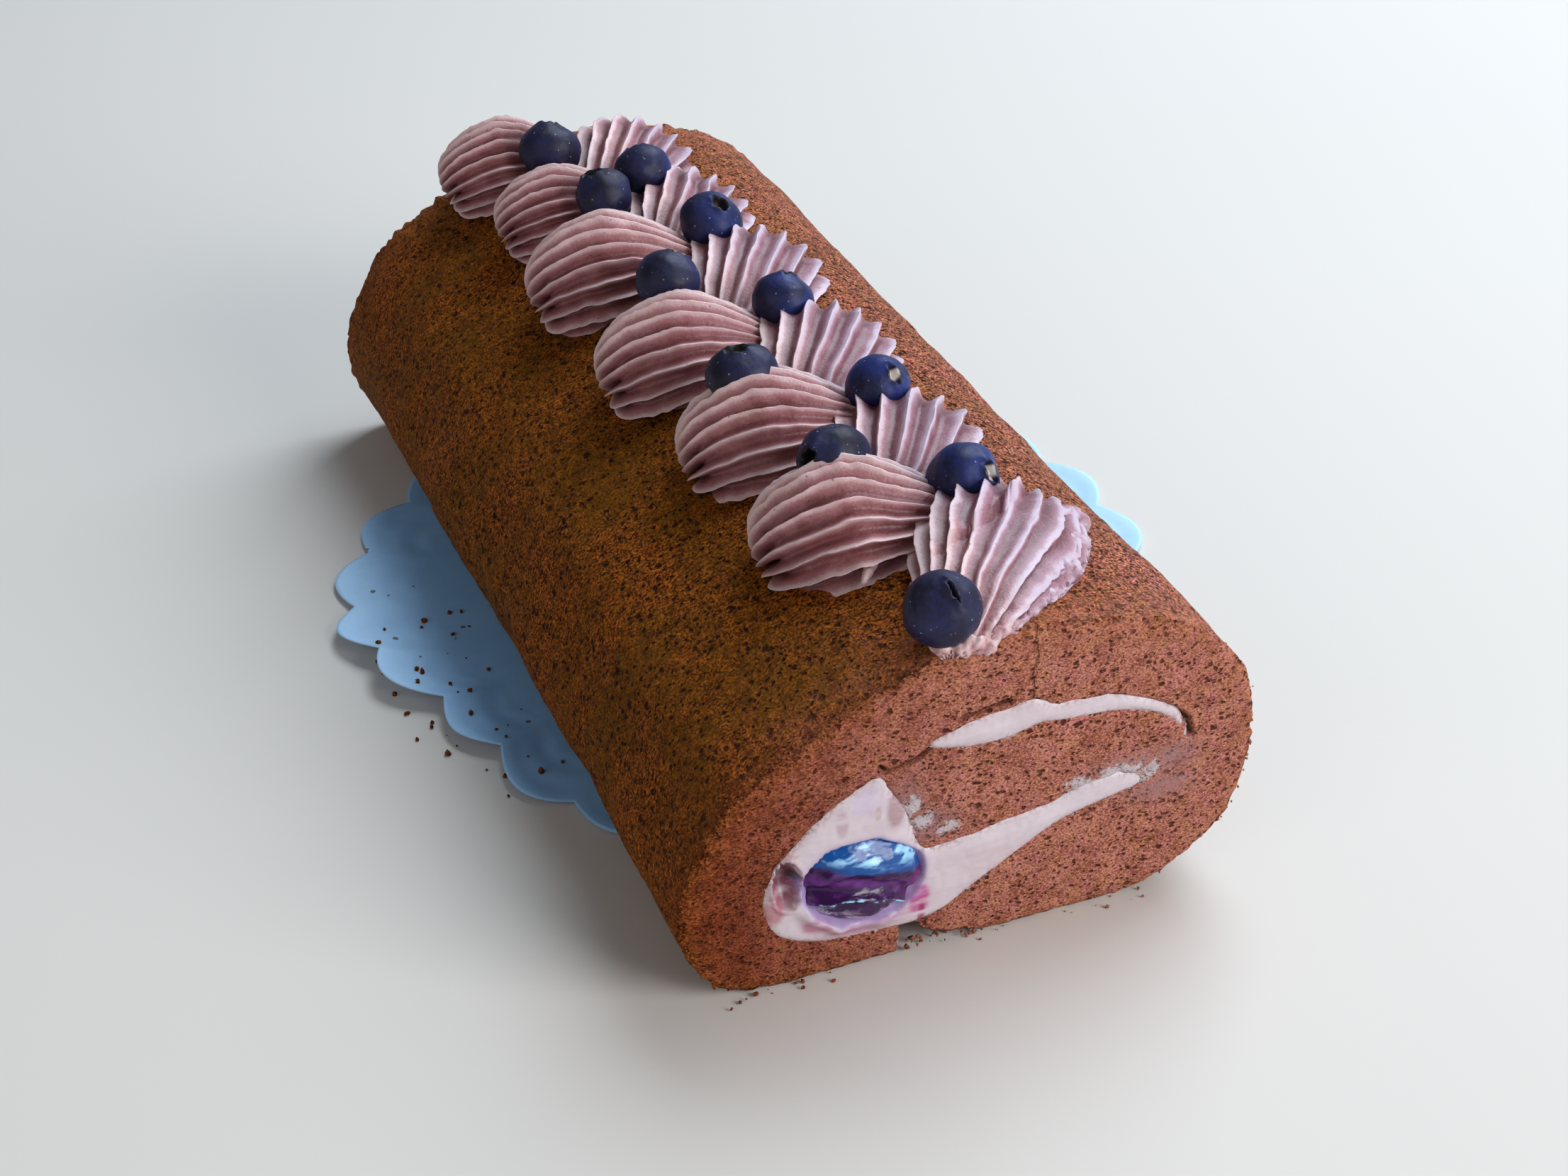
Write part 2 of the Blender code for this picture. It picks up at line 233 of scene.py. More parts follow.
def edge_distance(points: Array, loops: list[Array]) -> Array:
    """The distance from each point to the nearest side of the loops."""
    start = np.vstack(loops)
    side = np.vstack([np.roll(loop, -1, axis=0) for loop in loops]) - start
    length = np.maximum((side ** 2).sum(axis=1), 1e-16)
    found = np.zeros(len(points))
    for first in range(0, len(points), BLOCK):
        away = points[first:first + BLOCK, None, :] - start
        share = np.clip((away * side).sum(axis=-1) / length, 0, 1)
        nearest = away - share[..., None] * side
        found[first:first + BLOCK] = np.sqrt((nearest ** 2).sum(axis=-1).min(axis=1))
    return found


# Meshes

def mesh_object(name: str, points: Array, faces: list[Array], finish: bpy.types.Material,
                marks: dict[str, Array] | None = None) -> bpy.types.Object:
    """A smooth-shaded mesh object at the origin.

    Args:
        name: the object's name.
        points: vertices, in the frame.
        faces: arrays of triangles or quads, as rows of vertex numbers.
        finish: the material.
        marks: values for each vertex that the material reads, by name.

    Returns:
        The new object.
    """
    mesh = bpy.data.meshes.new(name)
    corners = np.concatenate([block.ravel() for block in faces]).astype(np.int32)
    sizes = np.concatenate([np.full(len(block), block.shape[1]) for block in faces])
    starts = np.concatenate([[0], np.cumsum(sizes)[:-1]]).astype(np.int32)
    mesh.vertices.add(len(points))
    mesh.vertices.foreach_set("co", points.astype(np.float32).ravel())
    mesh.loops.add(len(corners))
    mesh.loops.foreach_set("vertex_index", corners)
    mesh.polygons.add(len(starts))
    mesh.polygons.foreach_set("loop_start", starts)
    mesh.update(calc_edges=True)
    mesh.validate()
    mesh.shade_smooth()
    for mark, values in (marks or {}).items():
        layer = mesh.attributes.new(mark, "FLOAT", "POINT")
        layer.data.foreach_set("value", values.astype(np.float32))
    mesh.materials.append(finish)
    made = bpy.data.objects.new(name, mesh)
    bpy.context.scene.collection.objects.link(made)
    return made


def around(count: int) -> Array:
    """Even angles once round."""
    return 2 * np.pi * np.arange(count) / count


def ring_faces(rows: int, columns: int) -> list[Array]:
    """Faces of a closed skin of rings: a first pole, rows of columns points, a last pole."""
    this = np.arange(columns)
    following = (this + 1) % columns
    last = 1 + rows * columns
    start = np.stack([0 * this, 1 + following, 1 + this], axis=1)
    end = np.stack([0 * this + last, last - columns + this, last - columns + following], axis=1)
    row = 1 + columns * np.arange(rows - 1)[:, None]
    quads = np.stack([row + this, row + following, row + columns + following,
                      row + columns + this], axis=-1).reshape(-1, 4)
    return [start, end, quads]


def dress(piece: bpy.types.Object, slot: str, *nodes: str) -> None:
    """Puts a finished piece on the roll's body, in place of the nodes that it stands for."""
    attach(piece, BODY)
    if nodes:
        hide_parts(*nodes)
    LOG.info("%s: %d faces, replaces %s", piece.name, len(piece.data.polygons),
             ", ".join(nodes) or "nothing")


@dataclass
class Extrusion:
    """A section carried along the roll, with its two ends filled by fine triangles.

    Attributes:
        points: vertices as x, y and z, before they are placed on the roll.
        faces: triangles of both ends and quads of the walls.
        end: -1 at the near end, 1 at the far end and 0 along the walls.
        depth: distance from the section's edge, for the points of the ends.
        out: direction out of the section, as x and z, for the points of its edge.
        loop: number of the loop that a point belongs to, or -1 within an end.
    """

    points: Array
    faces: list[Array]
    end: Array
    depth: Array
    out: Array
    loop: Array

    @classmethod
    def build(cls, loops: list[Array], rows: list[Array], spacings: tuple[float, float]
              ) -> "Extrusion":
        """Builds the mesh.

        Formula: each loop is repeated at its rows along Y, joined by quads. An end has the loops'
        own points and, inside them, a lattice of equal triangles, joined by a Delaunay
        triangulation that keeps the loops' sides.

        Args:
            loops: closed edges of the section, each with the solid on its left.
            rows: the places along Y of each loop's rings, near end first.
            spacings: sides of the triangles at the near and the far end.

        Returns:
            The extrusion.
        """
        points, quads, out, numbers, ends = [], [], [], [], []
        near_ring, far_ring = [], []
        first = 0
        for number, (loop, places) in enumerate(zip(loops, rows)):
            count, rings = len(loop), len(places)
            ring = np.repeat(loop[None], rings, axis=0)
            along = np.repeat(places[:, None], count, axis=1)
            points.append(np.stack([ring[..., 0], along, ring[..., 1]], axis=-1).reshape(-1, 3))
            out.append(np.tile(outward(loop), (rings, 1)))
            numbers.append(np.full(rings * count, number))
            mark = np.zeros((rings, count))
            mark[0], mark[-1] = -1, 1
            ends.append(mark.ravel())
            this = np.arange(count)
            following = (this + 1) % count
            row = first + count * np.arange(rings - 1)[:, None]
            quads.append(np.stack([row + this, row + count + this, row + count + following,
                                   row + following], axis=-1).reshape(-1, 4))
            near_ring.append(first + this)
            far_ring.append(first + (rings - 1) * count + this)
            first += rings * count
        triangles = []
        for side, ring, spacing in zip((-1, 1), (near_ring, far_ring), spacings):
            lattice = cls._lattice(loops, spacing)
            corners = cls._triangulate(loops, lattice)
            names = np.concatenate([*ring, first + np.arange(len(lattice))])
            triangles.append(names[corners if side < 0 else corners[:, ::-1]])
            place = rows[0][0] if side < 0 else rows[0][-1]
            points.append(np.insert(lattice, 1, place, axis=1))
            out.append(np.zeros((len(lattice), 2)))
            numbers.append(np.full(len(lattice), -1))
            ends.append(np.full(len(lattice), float(side)))
            first += len(lattice)
        points = np.vstack(points)
        ends = np.concatenate(ends)
        depth = np.zeros(len(points))
        numbers = np.concatenate(numbers)
        within = numbers < 0
        depth[within] = edge_distance(points[within][:, (0, 2)], loops)
        return cls(points, [*triangles, np.vstack(quads)], ends, depth, np.vstack(out), numbers)

    @staticmethod
    def _lattice(loops: list[Array], spacing: float) -> Array:
        """Points of a triangular lattice inside the loops, clear of their sides."""
        low = np.vstack(loops).min(axis=0)
        high = np.vstack(loops).max(axis=0)
        levels = np.arange(low[1], high[1], spacing * np.sqrt(3) / 2)
        x, z = np.meshgrid(np.arange(low[0], high[0], spacing), levels)
        x = x + (np.arange(len(levels)) % 2)[:, None] * spacing / 2
        points = np.stack([x.ravel(), z.ravel()], axis=1)
        points = points[inside(points, loops)]
        return points[edge_distance(points, loops) > 0.55 * spacing]

    @staticmethod
    def _triangulate(loops: list[Array], lattice: Array) -> Array:
        """Triangles between the loops' points and the lattice, anticlockwise in x and z."""
        sides = []
        first = 0
        for loop in loops:
            this = np.arange(len(loop))
            sides.append(first + np.stack([this, (this + 1) % len(loop)], axis=1))
            first += len(loop)
        corners = np.vstack([*loops, lattice])
        found = delaunay_2d_cdt((corners / MM).tolist(), np.vstack(sides).tolist(), [], 0, 1e-5)
        triangles = np.array(found[2])
        triangles = triangles[inside(corners[triangles].mean(axis=1), loops)]
        a, b, c = (corners[triangles[:, k]] for k in range(3))
        area = (b[:, 0] - a[:, 0]) * (c[:, 1] - a[:, 1]) - (b[:, 1] - a[:, 1]) * (c[:, 0] - a[:, 0])
        return np.where((area < 0)[:, None], triangles[:, ::-1], triangles)


# Shader nodes

class Sketch:
    """Adds nodes to one node tree and wires them up, one call for each."""

    def __init__(self, tree: bpy.types.NodeTree) -> None:
        """Keeps the tree."""
        self.tree = tree

    def add(self, kind: str, inputs: dict | None = None, **settings: object) -> bpy.types.Node:
        """Adds a node.

        Args:
            kind: the node's type name.
            inputs: sockets to join or values to set, by the input's name or number.
            settings: the node's own properties.

        Returns:
            The node.
        """
        node = self.tree.nodes.new(kind)
        for name, value in settings.items():
            setattr(node, name, value)
        for name, value in (inputs or {}).items():
            if isinstance(value, Socket):
                self.tree.links.new(value, node.inputs[name])
            else:
                node.inputs[name].default_value = value
        return node

    def math(self, operation: str, *values: Socket | float) -> Socket:
        """The result of one sum."""
        return self.add("ShaderNodeMath", dict(enumerate(values)), operation=operation).outputs[0]

    def vector(self, operation: str, first: Socket, second: Socket | Colour) -> Socket:
        """The result of one sum of vectors."""
        return self.add("ShaderNodeVectorMath", {0: first, 1: second}, operation=operation
                        ).outputs[0]

    def times(self, first: Socket | float, second: Socket | float) -> Socket:
        """The product of two values."""
        return self.math("MULTIPLY", first, second)

    def colour_mix(self, share: Socket | float, first: Socket | Colour, second: Socket | Colour,
                   blend: str = "MIX") -> Socket:
        """Two colours mixed by a share of the second."""
        values = [value if isinstance(value, Socket) else (*value, 1.0)
                  for value in (first, second)]
        node = self.add("ShaderNodeMix", {0: share, 6: values[0], 7: values[1]},
                        data_type="RGBA", blend_type=blend)
        return node.outputs[2]

    def tinted(self, colour: Socket, tint: Socket | Colour, share: Socket | float = 1.0) -> Socket:
        """The colour multiplied by a tint, as far as the share says."""
        return self.colour_mix(share, colour, tint, "MULTIPLY")

    def value_mix(self, share: Socket | float, first: Socket | float, second: Socket | float
                  ) -> Socket:
        """Two values mixed by a share of the second."""
        return self.add("ShaderNodeMix", {0: share, 2: first, 3: second}).outputs[0]

    def remap(self, value: Socket, low: float, high: float, first: float = 0.0,
              second: float = 1.0) -> Socket:
        """The value eased from one range to another, held at the ends."""
        return self.add("ShaderNodeMapRange", {0: value, 1: low, 2: high, 3: first, 4: second},
                        interpolation_type="SMOOTHSTEP").outputs[0]

    def noise(self, vector: Socket, scale: Socket | float, detail: float = 3.0,
              roughness: float = 0.55) -> Socket:
        """Cloudy noise from 0 to 1 at so many waves to the metre."""
        return self.add("ShaderNodeTexNoise", {"Vector": vector, "Scale": scale, "Detail": detail,
                                               "Roughness": roughness}).outputs[0]

    def stretched(self, vector: Socket, scale: Colour, turn: Colour = (0.0, 0.0, 0.0)) -> Socket:
        """The coordinates turned and stretched, for streaks that run one way."""
        return self.add("ShaderNodeMapping", {"Vector": vector, "Rotation": turn,
                                              "Scale": scale}).outputs[0]

    def place(self) -> Socket:
        """Object coordinates."""
        return self.add("ShaderNodeTexCoord").outputs["Object"]

    def axis(self, vector: Socket, name: str) -> Socket:
        """One part of a vector: X, Y or Z."""
        return self.add("ShaderNodeSeparateXYZ", {0: vector}).outputs[name]

    def mark(self, name: str) -> Socket:
        """The value that the mesh holds at each vertex under this name."""
        return self.add("ShaderNodeAttribute", attribute_name=name).outputs["Fac"]

    def near(self, vector: Socket, centre: Colour, radii: Colour) -> Socket:
        """How near a point is to the middle of an ellipsoid: 1 there, 0 on it and beyond."""
        scaled = self.vector("DIVIDE", self.vector("SUBTRACT", vector, centre), radii)
        length = self.add("ShaderNodeVectorMath", {0: scaled}, operation="LENGTH")
        return self.remap(length.outputs["Value"], 0.0, 1.0, 1.0, 0.0)

    def group(self, tree: bpy.types.NodeTree, **inputs: object) -> bpy.types.Node:
        """Places a shared group with its own values."""
        return self.add("ShaderNodeGroup", inputs, node_tree=tree)

    def crumb(self, vector: Socket, scale: float) -> bpy.types.NodeOutputs:
        """The shared crumb pores."""
        return self.group(Shared.CRUMB.tree(), Vector=vector, Scale=scale).outputs

    def mottle(self, vector: Socket, scale: float, grain: float) -> Socket:
        """The shared soft mottle."""
        return self.group(Shared.MOTTLE.tree(), Vector=vector, Scale=scale, Grain=grain).outputs[0]

    def specks(self, vector: Socket, scale: float, share: float, size: float) -> Socket:
        """The shared small specks."""
        return self.group(Shared.SPECKS.tree(), Vector=vector, Scale=scale, Share=share,
                          Size=size).outputs[0]


class Shared(Enum):
    """The effects that are used more than once, each a node group that is built once."""

    CRUMB = "crumb pores"
    MOTTLE = "soft mottle"
    SPECKS = "small specks"

    def tree(self) -> bpy.types.NodeTree:
        """The group's tree, built at the first call."""
        found = bpy.data.node_groups.get(self.value)
        if found:
            return found
        builders: dict[Shared, Callable[[], bpy.types.NodeTree]] = {
            Shared.CRUMB: self._crumb,
            Shared.MOTTLE: self._mottle,
            Shared.SPECKS: self._specks,
        }
        return builders[self]()

    def _start(self, inputs: dict[str, float], outputs: list[str]) -> tuple[Sketch, dict, dict]:
        """A new group with a vector input, the named value inputs and the named outputs."""
        tree = bpy.data.node_groups.new(self.value, "ShaderNodeTree")
        tree.interface.new_socket(name="Vector", in_out="INPUT", socket_type="NodeSocketVector")
        for name, value in inputs.items():
            made = tree.interface.new_socket(name=name, in_out="INPUT",
                                             socket_type="NodeSocketFloat")
            made.default_value = value
        for name in outputs:
            tree.interface.new_socket(name=name, in_out="OUTPUT", socket_type="NodeSocketFloat")
        sketch = Sketch(tree)
        start = tree.nodes.new("NodeGroupInput")
        end = tree.nodes.new("NodeGroupOutput")
        return sketch, start.outputs, end.inputs

    def _crumb(self) -> bpy.types.NodeTree:
        """Pores of baked crumb in three sizes, with the grain of the crumb between them.

        Scale is the number of middling pores to the metre. Pores is 1 in a pore, Grain is the
        crumb's fine light and dark, and Height joins the two for a bump.
        """
        sketch, given, result = self._start({"Scale": 1000.0}, ["Pores", "Grain", "Height"])
        place, scale = given["Vector"], given["Scale"]
        bend = sketch.add("ShaderNodeTexNoise", {"Vector": place, "Detail": 2.0, "Scale":
                          sketch.times(scale, 0.9)}).outputs["Color"]
        shift = sketch.vector("SUBTRACT", bend, (0.5, 0.5, 0.5))
        shift = sketch.add("ShaderNodeVectorMath", {0: shift, 3: sketch.math("DIVIDE", 1.1, scale)},
                           operation="SCALE").outputs[0]
        bent = sketch.vector("ADD", place, shift)
        found = []
        for factor, low, high, strength in ((0.42, 0.10, 0.25, 1.0), (1.0, 0.18, 0.40, 1.0),
                                            (2.2, 0.16, 0.36, 0.75)):
            cells = sketch.add("ShaderNodeTexVoronoi", {"Vector": bent, "Scale":
                               sketch.times(scale, factor)})
            size = sketch.add("ShaderNodeSeparateColor", {0: cells.outputs["Color"]}).outputs[0]
            wide = sketch.value_mix(size, 2.2, 0.75)
            away = sketch.times(cells.outputs["Distance"], wide)
            found.append(sketch.remap(away, low, high, strength, 0.0))
        pore = sketch.math("MAXIMUM", *found)
        grain = sketch.noise(place, sketch.times(scale, 2.6), 4.0, 0.65)
        height = sketch.math("SUBTRACT", sketch.times(grain, 0.7), pore)
        self._finish(sketch, result, {"Pores": pore, "Grain": grain, "Height": height})
        return sketch.tree

    def _mottle(self) -> bpy.types.NodeTree:
        """Soft uneven patches with a finer grain on them, from 0 to 1 with good contrast."""
        sketch, given, result = self._start({"Scale": 200.0, "Grain": 0.3}, ["Value"])
        broad = sketch.noise(given["Vector"], given["Scale"], 3.0, 0.5)
        fine = sketch.noise(given["Vector"], sketch.times(given["Scale"], 7.0), 3.0)
        mixed = sketch.value_mix(given["Grain"], broad, fine)
        self._finish(sketch, result, {"Value": sketch.remap(mixed, 0.30, 0.70)})
        return sketch.tree

    def _specks(self) -> bpy.types.NodeTree:
        """Scattered round specks. Share is the part of the cells that holds one."""
        sketch, given, result = self._start({"Scale": 900.0, "Share": 0.3, "Size": 0.2}, ["Mask"])
        cells = sketch.add("ShaderNodeTexVoronoi", {"Vector": given["Vector"],
                                                    "Scale": given["Scale"]})
        parts = sketch.add("ShaderNodeSeparateColor", {0: cells.outputs["Color"]})
        chosen = sketch.math("LESS_THAN", parts.outputs[0], given["Share"])
        size = sketch.times(given["Size"], sketch.value_mix(parts.outputs[1], 0.4, 1.3))
        close = sketch.math("LESS_THAN", cells.outputs["Distance"], size)
        self._finish(sketch, result, {"Mask": sketch.times(chosen, close)})
        return sketch.tree

    @staticmethod
    def _finish(sketch: Sketch, result: dict, values: dict[str, Socket]) -> None:
        """Joins the values to the group's outputs."""
        for name, value in values.items():
            sketch.tree.links.new(value, result[name])


class Paint(Sketch):
    """A new material with its Principled shader."""

    def __init__(self, name: str) -> None:
        """Makes the empty material."""
        self.made = bpy.data.materials.new(name)
        self.made.use_nodes = True
        super().__init__(self.made.node_tree)

    def done(self, colour: Socket, bump: tuple[Socket, float, float] | None,
             **values: object) -> bpy.types.Material:
        """Joins the colour and the bump to the shader and sets its constant values.

        Args:
            colour: the base colour.
            bump: the height, the strength and the distance of the bump, if there is one.
            values: constants for the shader's inputs; an underscore stands for a space.

        Returns:
            The material.
        """
        shader = self.tree.nodes["Principled BSDF"]
        if bump:
            height, strength, distance = bump
            made = self.add("ShaderNodeBump", {"Height": height, "Strength": strength,
                                               "Distance": distance})
            self.tree.links.new(made.outputs[0], shader.inputs["Normal"])
        self.tree.links.new(colour, shader.inputs["Base Color"])
        for name, value in values.items():
            shader.inputs[name.replace("_", " ")].default_value = value
        return self.made


# Finishes

@dataclass(frozen=True)
class SpongeFinish:
    """Chocolate sponge: a dark baked skin and a lighter, redder crumb where it is cut, with painted
    light and shade.
    """

    skin_light: Colour = (0.620, 0.168, 0.016)
    skin_dark: Colour = (0.052, 0.011, 0.002)
    skin_olive_shade: Colour = (0.140, 0.060, 0.001)
    painted_window_light: Colour = (1.38, 1.80, 12.0)
    crumb_light: Colour = (0.700, 0.300, 0.220)
    crumb_dark: Colour = (0.270, 0.076, 0.046)
    # painted shade that darkens the left part of the cut face
    painted_shade_left: Colour = (0.44, 0.235, 0.100)
    # dark colour painted into the pores, the crack and the creases as shade
    pore: Colour = (0.075, 0.014, 0.006)
    skin_pore_shade: Colour = (0.018, 0.004, 0.002)
    olive_tint: Colour = (1.00, 1.03, 0.80)
    plum_tint: Colour = (1.00, 0.92, 1.12)
    rim: Colour = (0.560, 0.215, 0.050)
    cream: Colour = (0.620, 0.540, 0.570)
    veil: Colour = (0.430, 0.220, 0.215)
    crack_x: float = 7.7 * MM
    crack_low: float = 40.6 * MM

    def material(self) -> bpy.types.Material:
        """Builds the material. It reads the marks cut, rim, smear, veil and crease."""
        sketch = Paint("chocolate_sponge")
        place = sketch.place()
        cut, rim, smear, veil = (sketch.mark(name) for name in ("cut", "rim", "smear", "veil"))
        squashed = sketch.stretched(place, (0.8, 1.0, 1.2))
        crumb = sketch.crumb(squashed, 1150.0)
        skin = sketch.crumb(place, 900.0)
        patches = sketch.mottle(place, 60.0, 0.35)
        skin_colour = sketch.colour_mix(sketch.remap(skin["Grain"], 0.40, 0.65),
                                        self.skin_dark, self.skin_light)
        across = sketch.axis(place, "X")
        # Olive patches, strongest on the left where the skin is in shade: partly the skin's own
        # tint, partly painted shade.
        olive = sketch.times(patches, sketch.remap(across, -30 * MM, 5 * MM, 0.75, 0.3))
        skin_colour = sketch.colour_mix(olive, skin_colour, self.skin_olive_shade)
        tone = sketch.value_mix(sketch.mottle(place, 560.0, 0.35), 0.56, 1.30)
        skin_colour = sketch.tinted(skin_colour, tone)
        dense = sketch.times(sketch.math("SUBTRACT", sketch.mottle(place, 240.0, 0.3), 0.5), 0.10)
        cut_colour = sketch.colour_mix(sketch.remap(sketch.math("ADD", crumb["Grain"], dense),
                                                    0.38, 0.64), self.crumb_dark, self.crumb_light)
        # Painted light: the skin grows lighter and bluer towards the right, where the window light
        # falls.
        right = sketch.remap(across, 0.0, 38 * MM)
        skin_colour = sketch.tinted(skin_colour, self.painted_window_light, right)
        # Painted shade: the cut face darkens towards the left, away from the light.
        left = sketch.remap(across, -48 * MM, 4 * MM, 1.0, 0.0)
        cut_colour = sketch.tinted(cut_colour, self.painted_shade_left, left)
        cut_colour = sketch.tinted(cut_colour, tone, left)
        colour = sketch.colour_mix(cut, skin_colour, cut_colour)
        tint = sketch.colour_mix(sketch.mottle(place, 390.0, 0.35), self.olive_tint, self.plum_tint)
        colour = sketch.tinted(colour, tint)
        grain = sketch.value_mix(cut, skin["Grain"], crumb["Grain"])
        edge = sketch.times(rim, sketch.remap(grain, 0.50, 0.62))
        colour = sketch.colour_mix(sketch.times(edge, 0.8), colour, self.rim)
        # Painted shade: the pores are darkened as hollows.
        pore = sketch.value_mix(cut, skin["Pores"], crumb["Pores"])
        hollow = sketch.colour_mix(cut, self.skin_pore_shade, self.pore)
        colour = sketch.colour_mix(sketch.times(pore, 0.9), colour, hollow)
        # Painted shade: the crack and the creases between the wraps are darkened.
        crack = sketch.times(self._crack(sketch, place), cut)
        crack = sketch.math("MAXIMUM", crack, sketch.mark("crease"))
        colour = sketch.colour_mix(crack, colour, self.pore)
        fine = sketch.noise(place, 1300.0, 4.0, 0.65)
        film = sketch.times(veil, sketch.remap(fine, 0.28, 0.48))
        colour = sketch.colour_mix(film, colour, self.veil)
        spread = sketch.remap(sketch.math("ADD", smear, fine), 0.86, 1.02)
        spread = sketch.times(spread, sketch.remap(smear, 0.05, 0.35))
        colour = sketch.colour_mix(spread, colour, self.cream)
        height = sketch.value_mix(cut, skin["Height"], crumb["Height"])
        height = sketch.math("SUBTRACT", height, crack)
        return sketch.done(colour, (height, 1.0, 0.75 * MM), Roughness=0.8,
                           Specular_IOR_Level=0.08)

    def _crack(self, sketch: Sketch, place: Socket) -> Socket:
        """The thin upright crack in the top wrap over the kink of the upper cream, painted dark as
        shade.
        """
        parts = sketch.add("ShaderNodeSeparateXYZ", {0: place}).outputs
        wander = sketch.times(sketch.noise(place, 420.0), 2.4 * MM)
        away = sketch.math("SUBTRACT", sketch.math("ADD", parts["X"], 1.2 * MM - self.crack_x),
                           wander)
        line = sketch.remap(sketch.math("ABSOLUTE", away), 0.06 * MM, 0.30 * MM, 0.5, 0.0)
        return sketch.times(line, sketch.math("GREATER_THAN", parts["Z"], self.crack_low))


@dataclass(frozen=True)
class FillingFinish:
    """Pale lilac cream, stained by the berries that are caught in it, with painted shade in the
    hollow beside the berry.

    A stain is its place and its radii on the cut face in mm, its tint and its strength.
    """

    pale: Colour = (0.615, 0.545, 0.590)
    shaded: Colour = (0.550, 0.450, 0.500)
    crumb: Colour = (0.230, 0.080, 0.045)
    juice: Colour = (0.300, 0.210, 0.480)
    stains: tuple = (
        # The hollow beside the berry: pink juice with painted shade in its dip, then a painted
        # shadow in the hole at its back.
        ((-29.2, 18.6), (3.6, 6.4), (0.230, 0.060, 0.090), 1.0),
        ((-27.4, 18.9), (1.7, 1.7), (0.012, 0.036, 0.034), 1.0),
        ((-31.2, 14.8), (2.2, 4.6), (0.420, 0.110, 0.140), 0.70),
        ((-28.6, 24.0), (2.4, 1.6), (0.420, 0.240, 0.260), 0.60),
        ((-17.2, 8.0), (10.5, 2.8), (0.430, 0.180, 0.290), 0.75),
        ((-24.8, 10.4), (3.4, 2.8), (0.430, 0.120, 0.210), 0.80),
        ((-8.8, 10.0), (2.6, 4.6), (0.430, 0.050, 0.230), 0.95),
        ((-8.3, 7.0), (0.9, 2.8), (0.300, 0.002, 0.095), 1.0),
        ((-21.0, 27.0), (1.5, 3.6), (0.400, 0.260, 0.310), 0.65),
        ((-17.0, 29.5), (3.6, 4.0), (0.520, 0.440, 0.620), 0.55),
        ((2.0, 14.0), (9.0, 3.0), (0.560, 0.430, 0.440), 0.50),
        ((-15.6, 27.6), (0.8, 1.7), (0.380, 0.230, 0.070), 0.60),
        ((-12.8, 27.4), (2.2, 5.0), (0.330, 0.190, 0.210), 0.75),
    )

    def material(self) -> bpy.types.Material:
        """Builds the material. It reads the marks edge and juice."""
        sketch = Paint("filling_cream")
        place = sketch.place()
        edge = sketch.mark("edge")
        drag = sketch.stretched(place, (0.35, 1.0, 1.6), (0.0, 0.35, 0.0))
        mottle = sketch.mottle(drag, 200.0, 0.2)
        colour = sketch.colour_mix(sketch.times(mottle, 0.7), self.pale, self.shaded)
        ragged = sketch.remap(sketch.noise(drag, 420.0), 0.25, 0.60)
        for (x, z), (wide, high), tint, strength in self.stains:
            close = sketch.near(place, (x * MM, FORM.near, z * MM), (wide * MM, 15 * MM, high * MM))
            wet = sketch.times(sketch.remap(close, 0.0, 0.6), ragged)
            colour = sketch.colour_mix(sketch.times(wet, strength), colour, tint)
        colour = sketch.colour_mix(sketch.times(sketch.mark("juice"), 0.8), colour, self.juice)
        specks = sketch.specks(place, 600.0, 0.08, 0.14)
        stuck = sketch.times(edge, sketch.remap(sketch.noise(place, 1500.0), 0.48, 0.60))
        loose = sketch.math("MAXIMUM", sketch.times(specks, 0.5), stuck)
        colour = sketch.colour_mix(loose, colour, self.crumb)
        grain = sketch.noise(drag, 700.0, 3.0)
        return sketch.done(colour, (grain, 0.3, 0.25 * MM), Roughness=0.38,
                           Subsurface_Weight=0.12, Subsurface_Radius=(1.0, 0.7, 0.7),
                           Subsurface_Scale=1.5 * MM)


@dataclass(frozen=True)
class PipedFinish:
    """Mauve chocolate cream: pale thin crests over darker, redder valleys, as painted highlight and
    shade.
    """

    crest: Colour = (0.650, 0.465, 0.475)
    slope: Colour = (0.375, 0.165, 0.178)
    valley: Colour = (0.165, 0.043, 0.048)
    speck: Colour = (0.090, 0.022, 0.026)
    # painted cool window light on the right row
    painted_cool_light: Colour = (0.84, 0.93, 1.12)

    def material(self) -> bpy.types.Material:
        """Builds the material. It reads the mark crest."""
        sketch = Paint("piped_cream")
        place = sketch.place()
        crest = sketch.mark("crest")
        mottle = sketch.math("SUBTRACT", sketch.mottle(place, 330.0, 0.4), 0.5)
        # Painted light: the crests get a painted highlight and the valleys painted shade.
        level = sketch.math("ADD", crest, sketch.times(mottle, 0.30))
        colour = sketch.colour_mix(sketch.remap(level, -0.1, 0.45), self.valley, self.slope)
        colour = sketch.colour_mix(sketch.remap(level, 0.40, 1.0), colour, self.crest)
        specks = sketch.specks(place, 900.0, 0.16, 0.15)
        colour = sketch.colour_mix(sketch.times(specks, 0.6), colour, self.speck)
        across = sketch.axis(place, "X")
        # Painted light: the right row is tinted by the cool window light.
        colour = sketch.tinted(colour, self.painted_cool_light, sketch.remap(across, 0.0, 12 * MM))
        grain = sketch.noise(place, 2200.0, 3.0, 0.6)
        return sketch.done(colour, (grain, 0.5, 0.16 * MM), Roughness=0.42,
                           Subsurface_Weight=0.08, Subsurface_Radius=(1.0, 0.5, 0.4),
                           Subsurface_Scale=1.2 * MM)


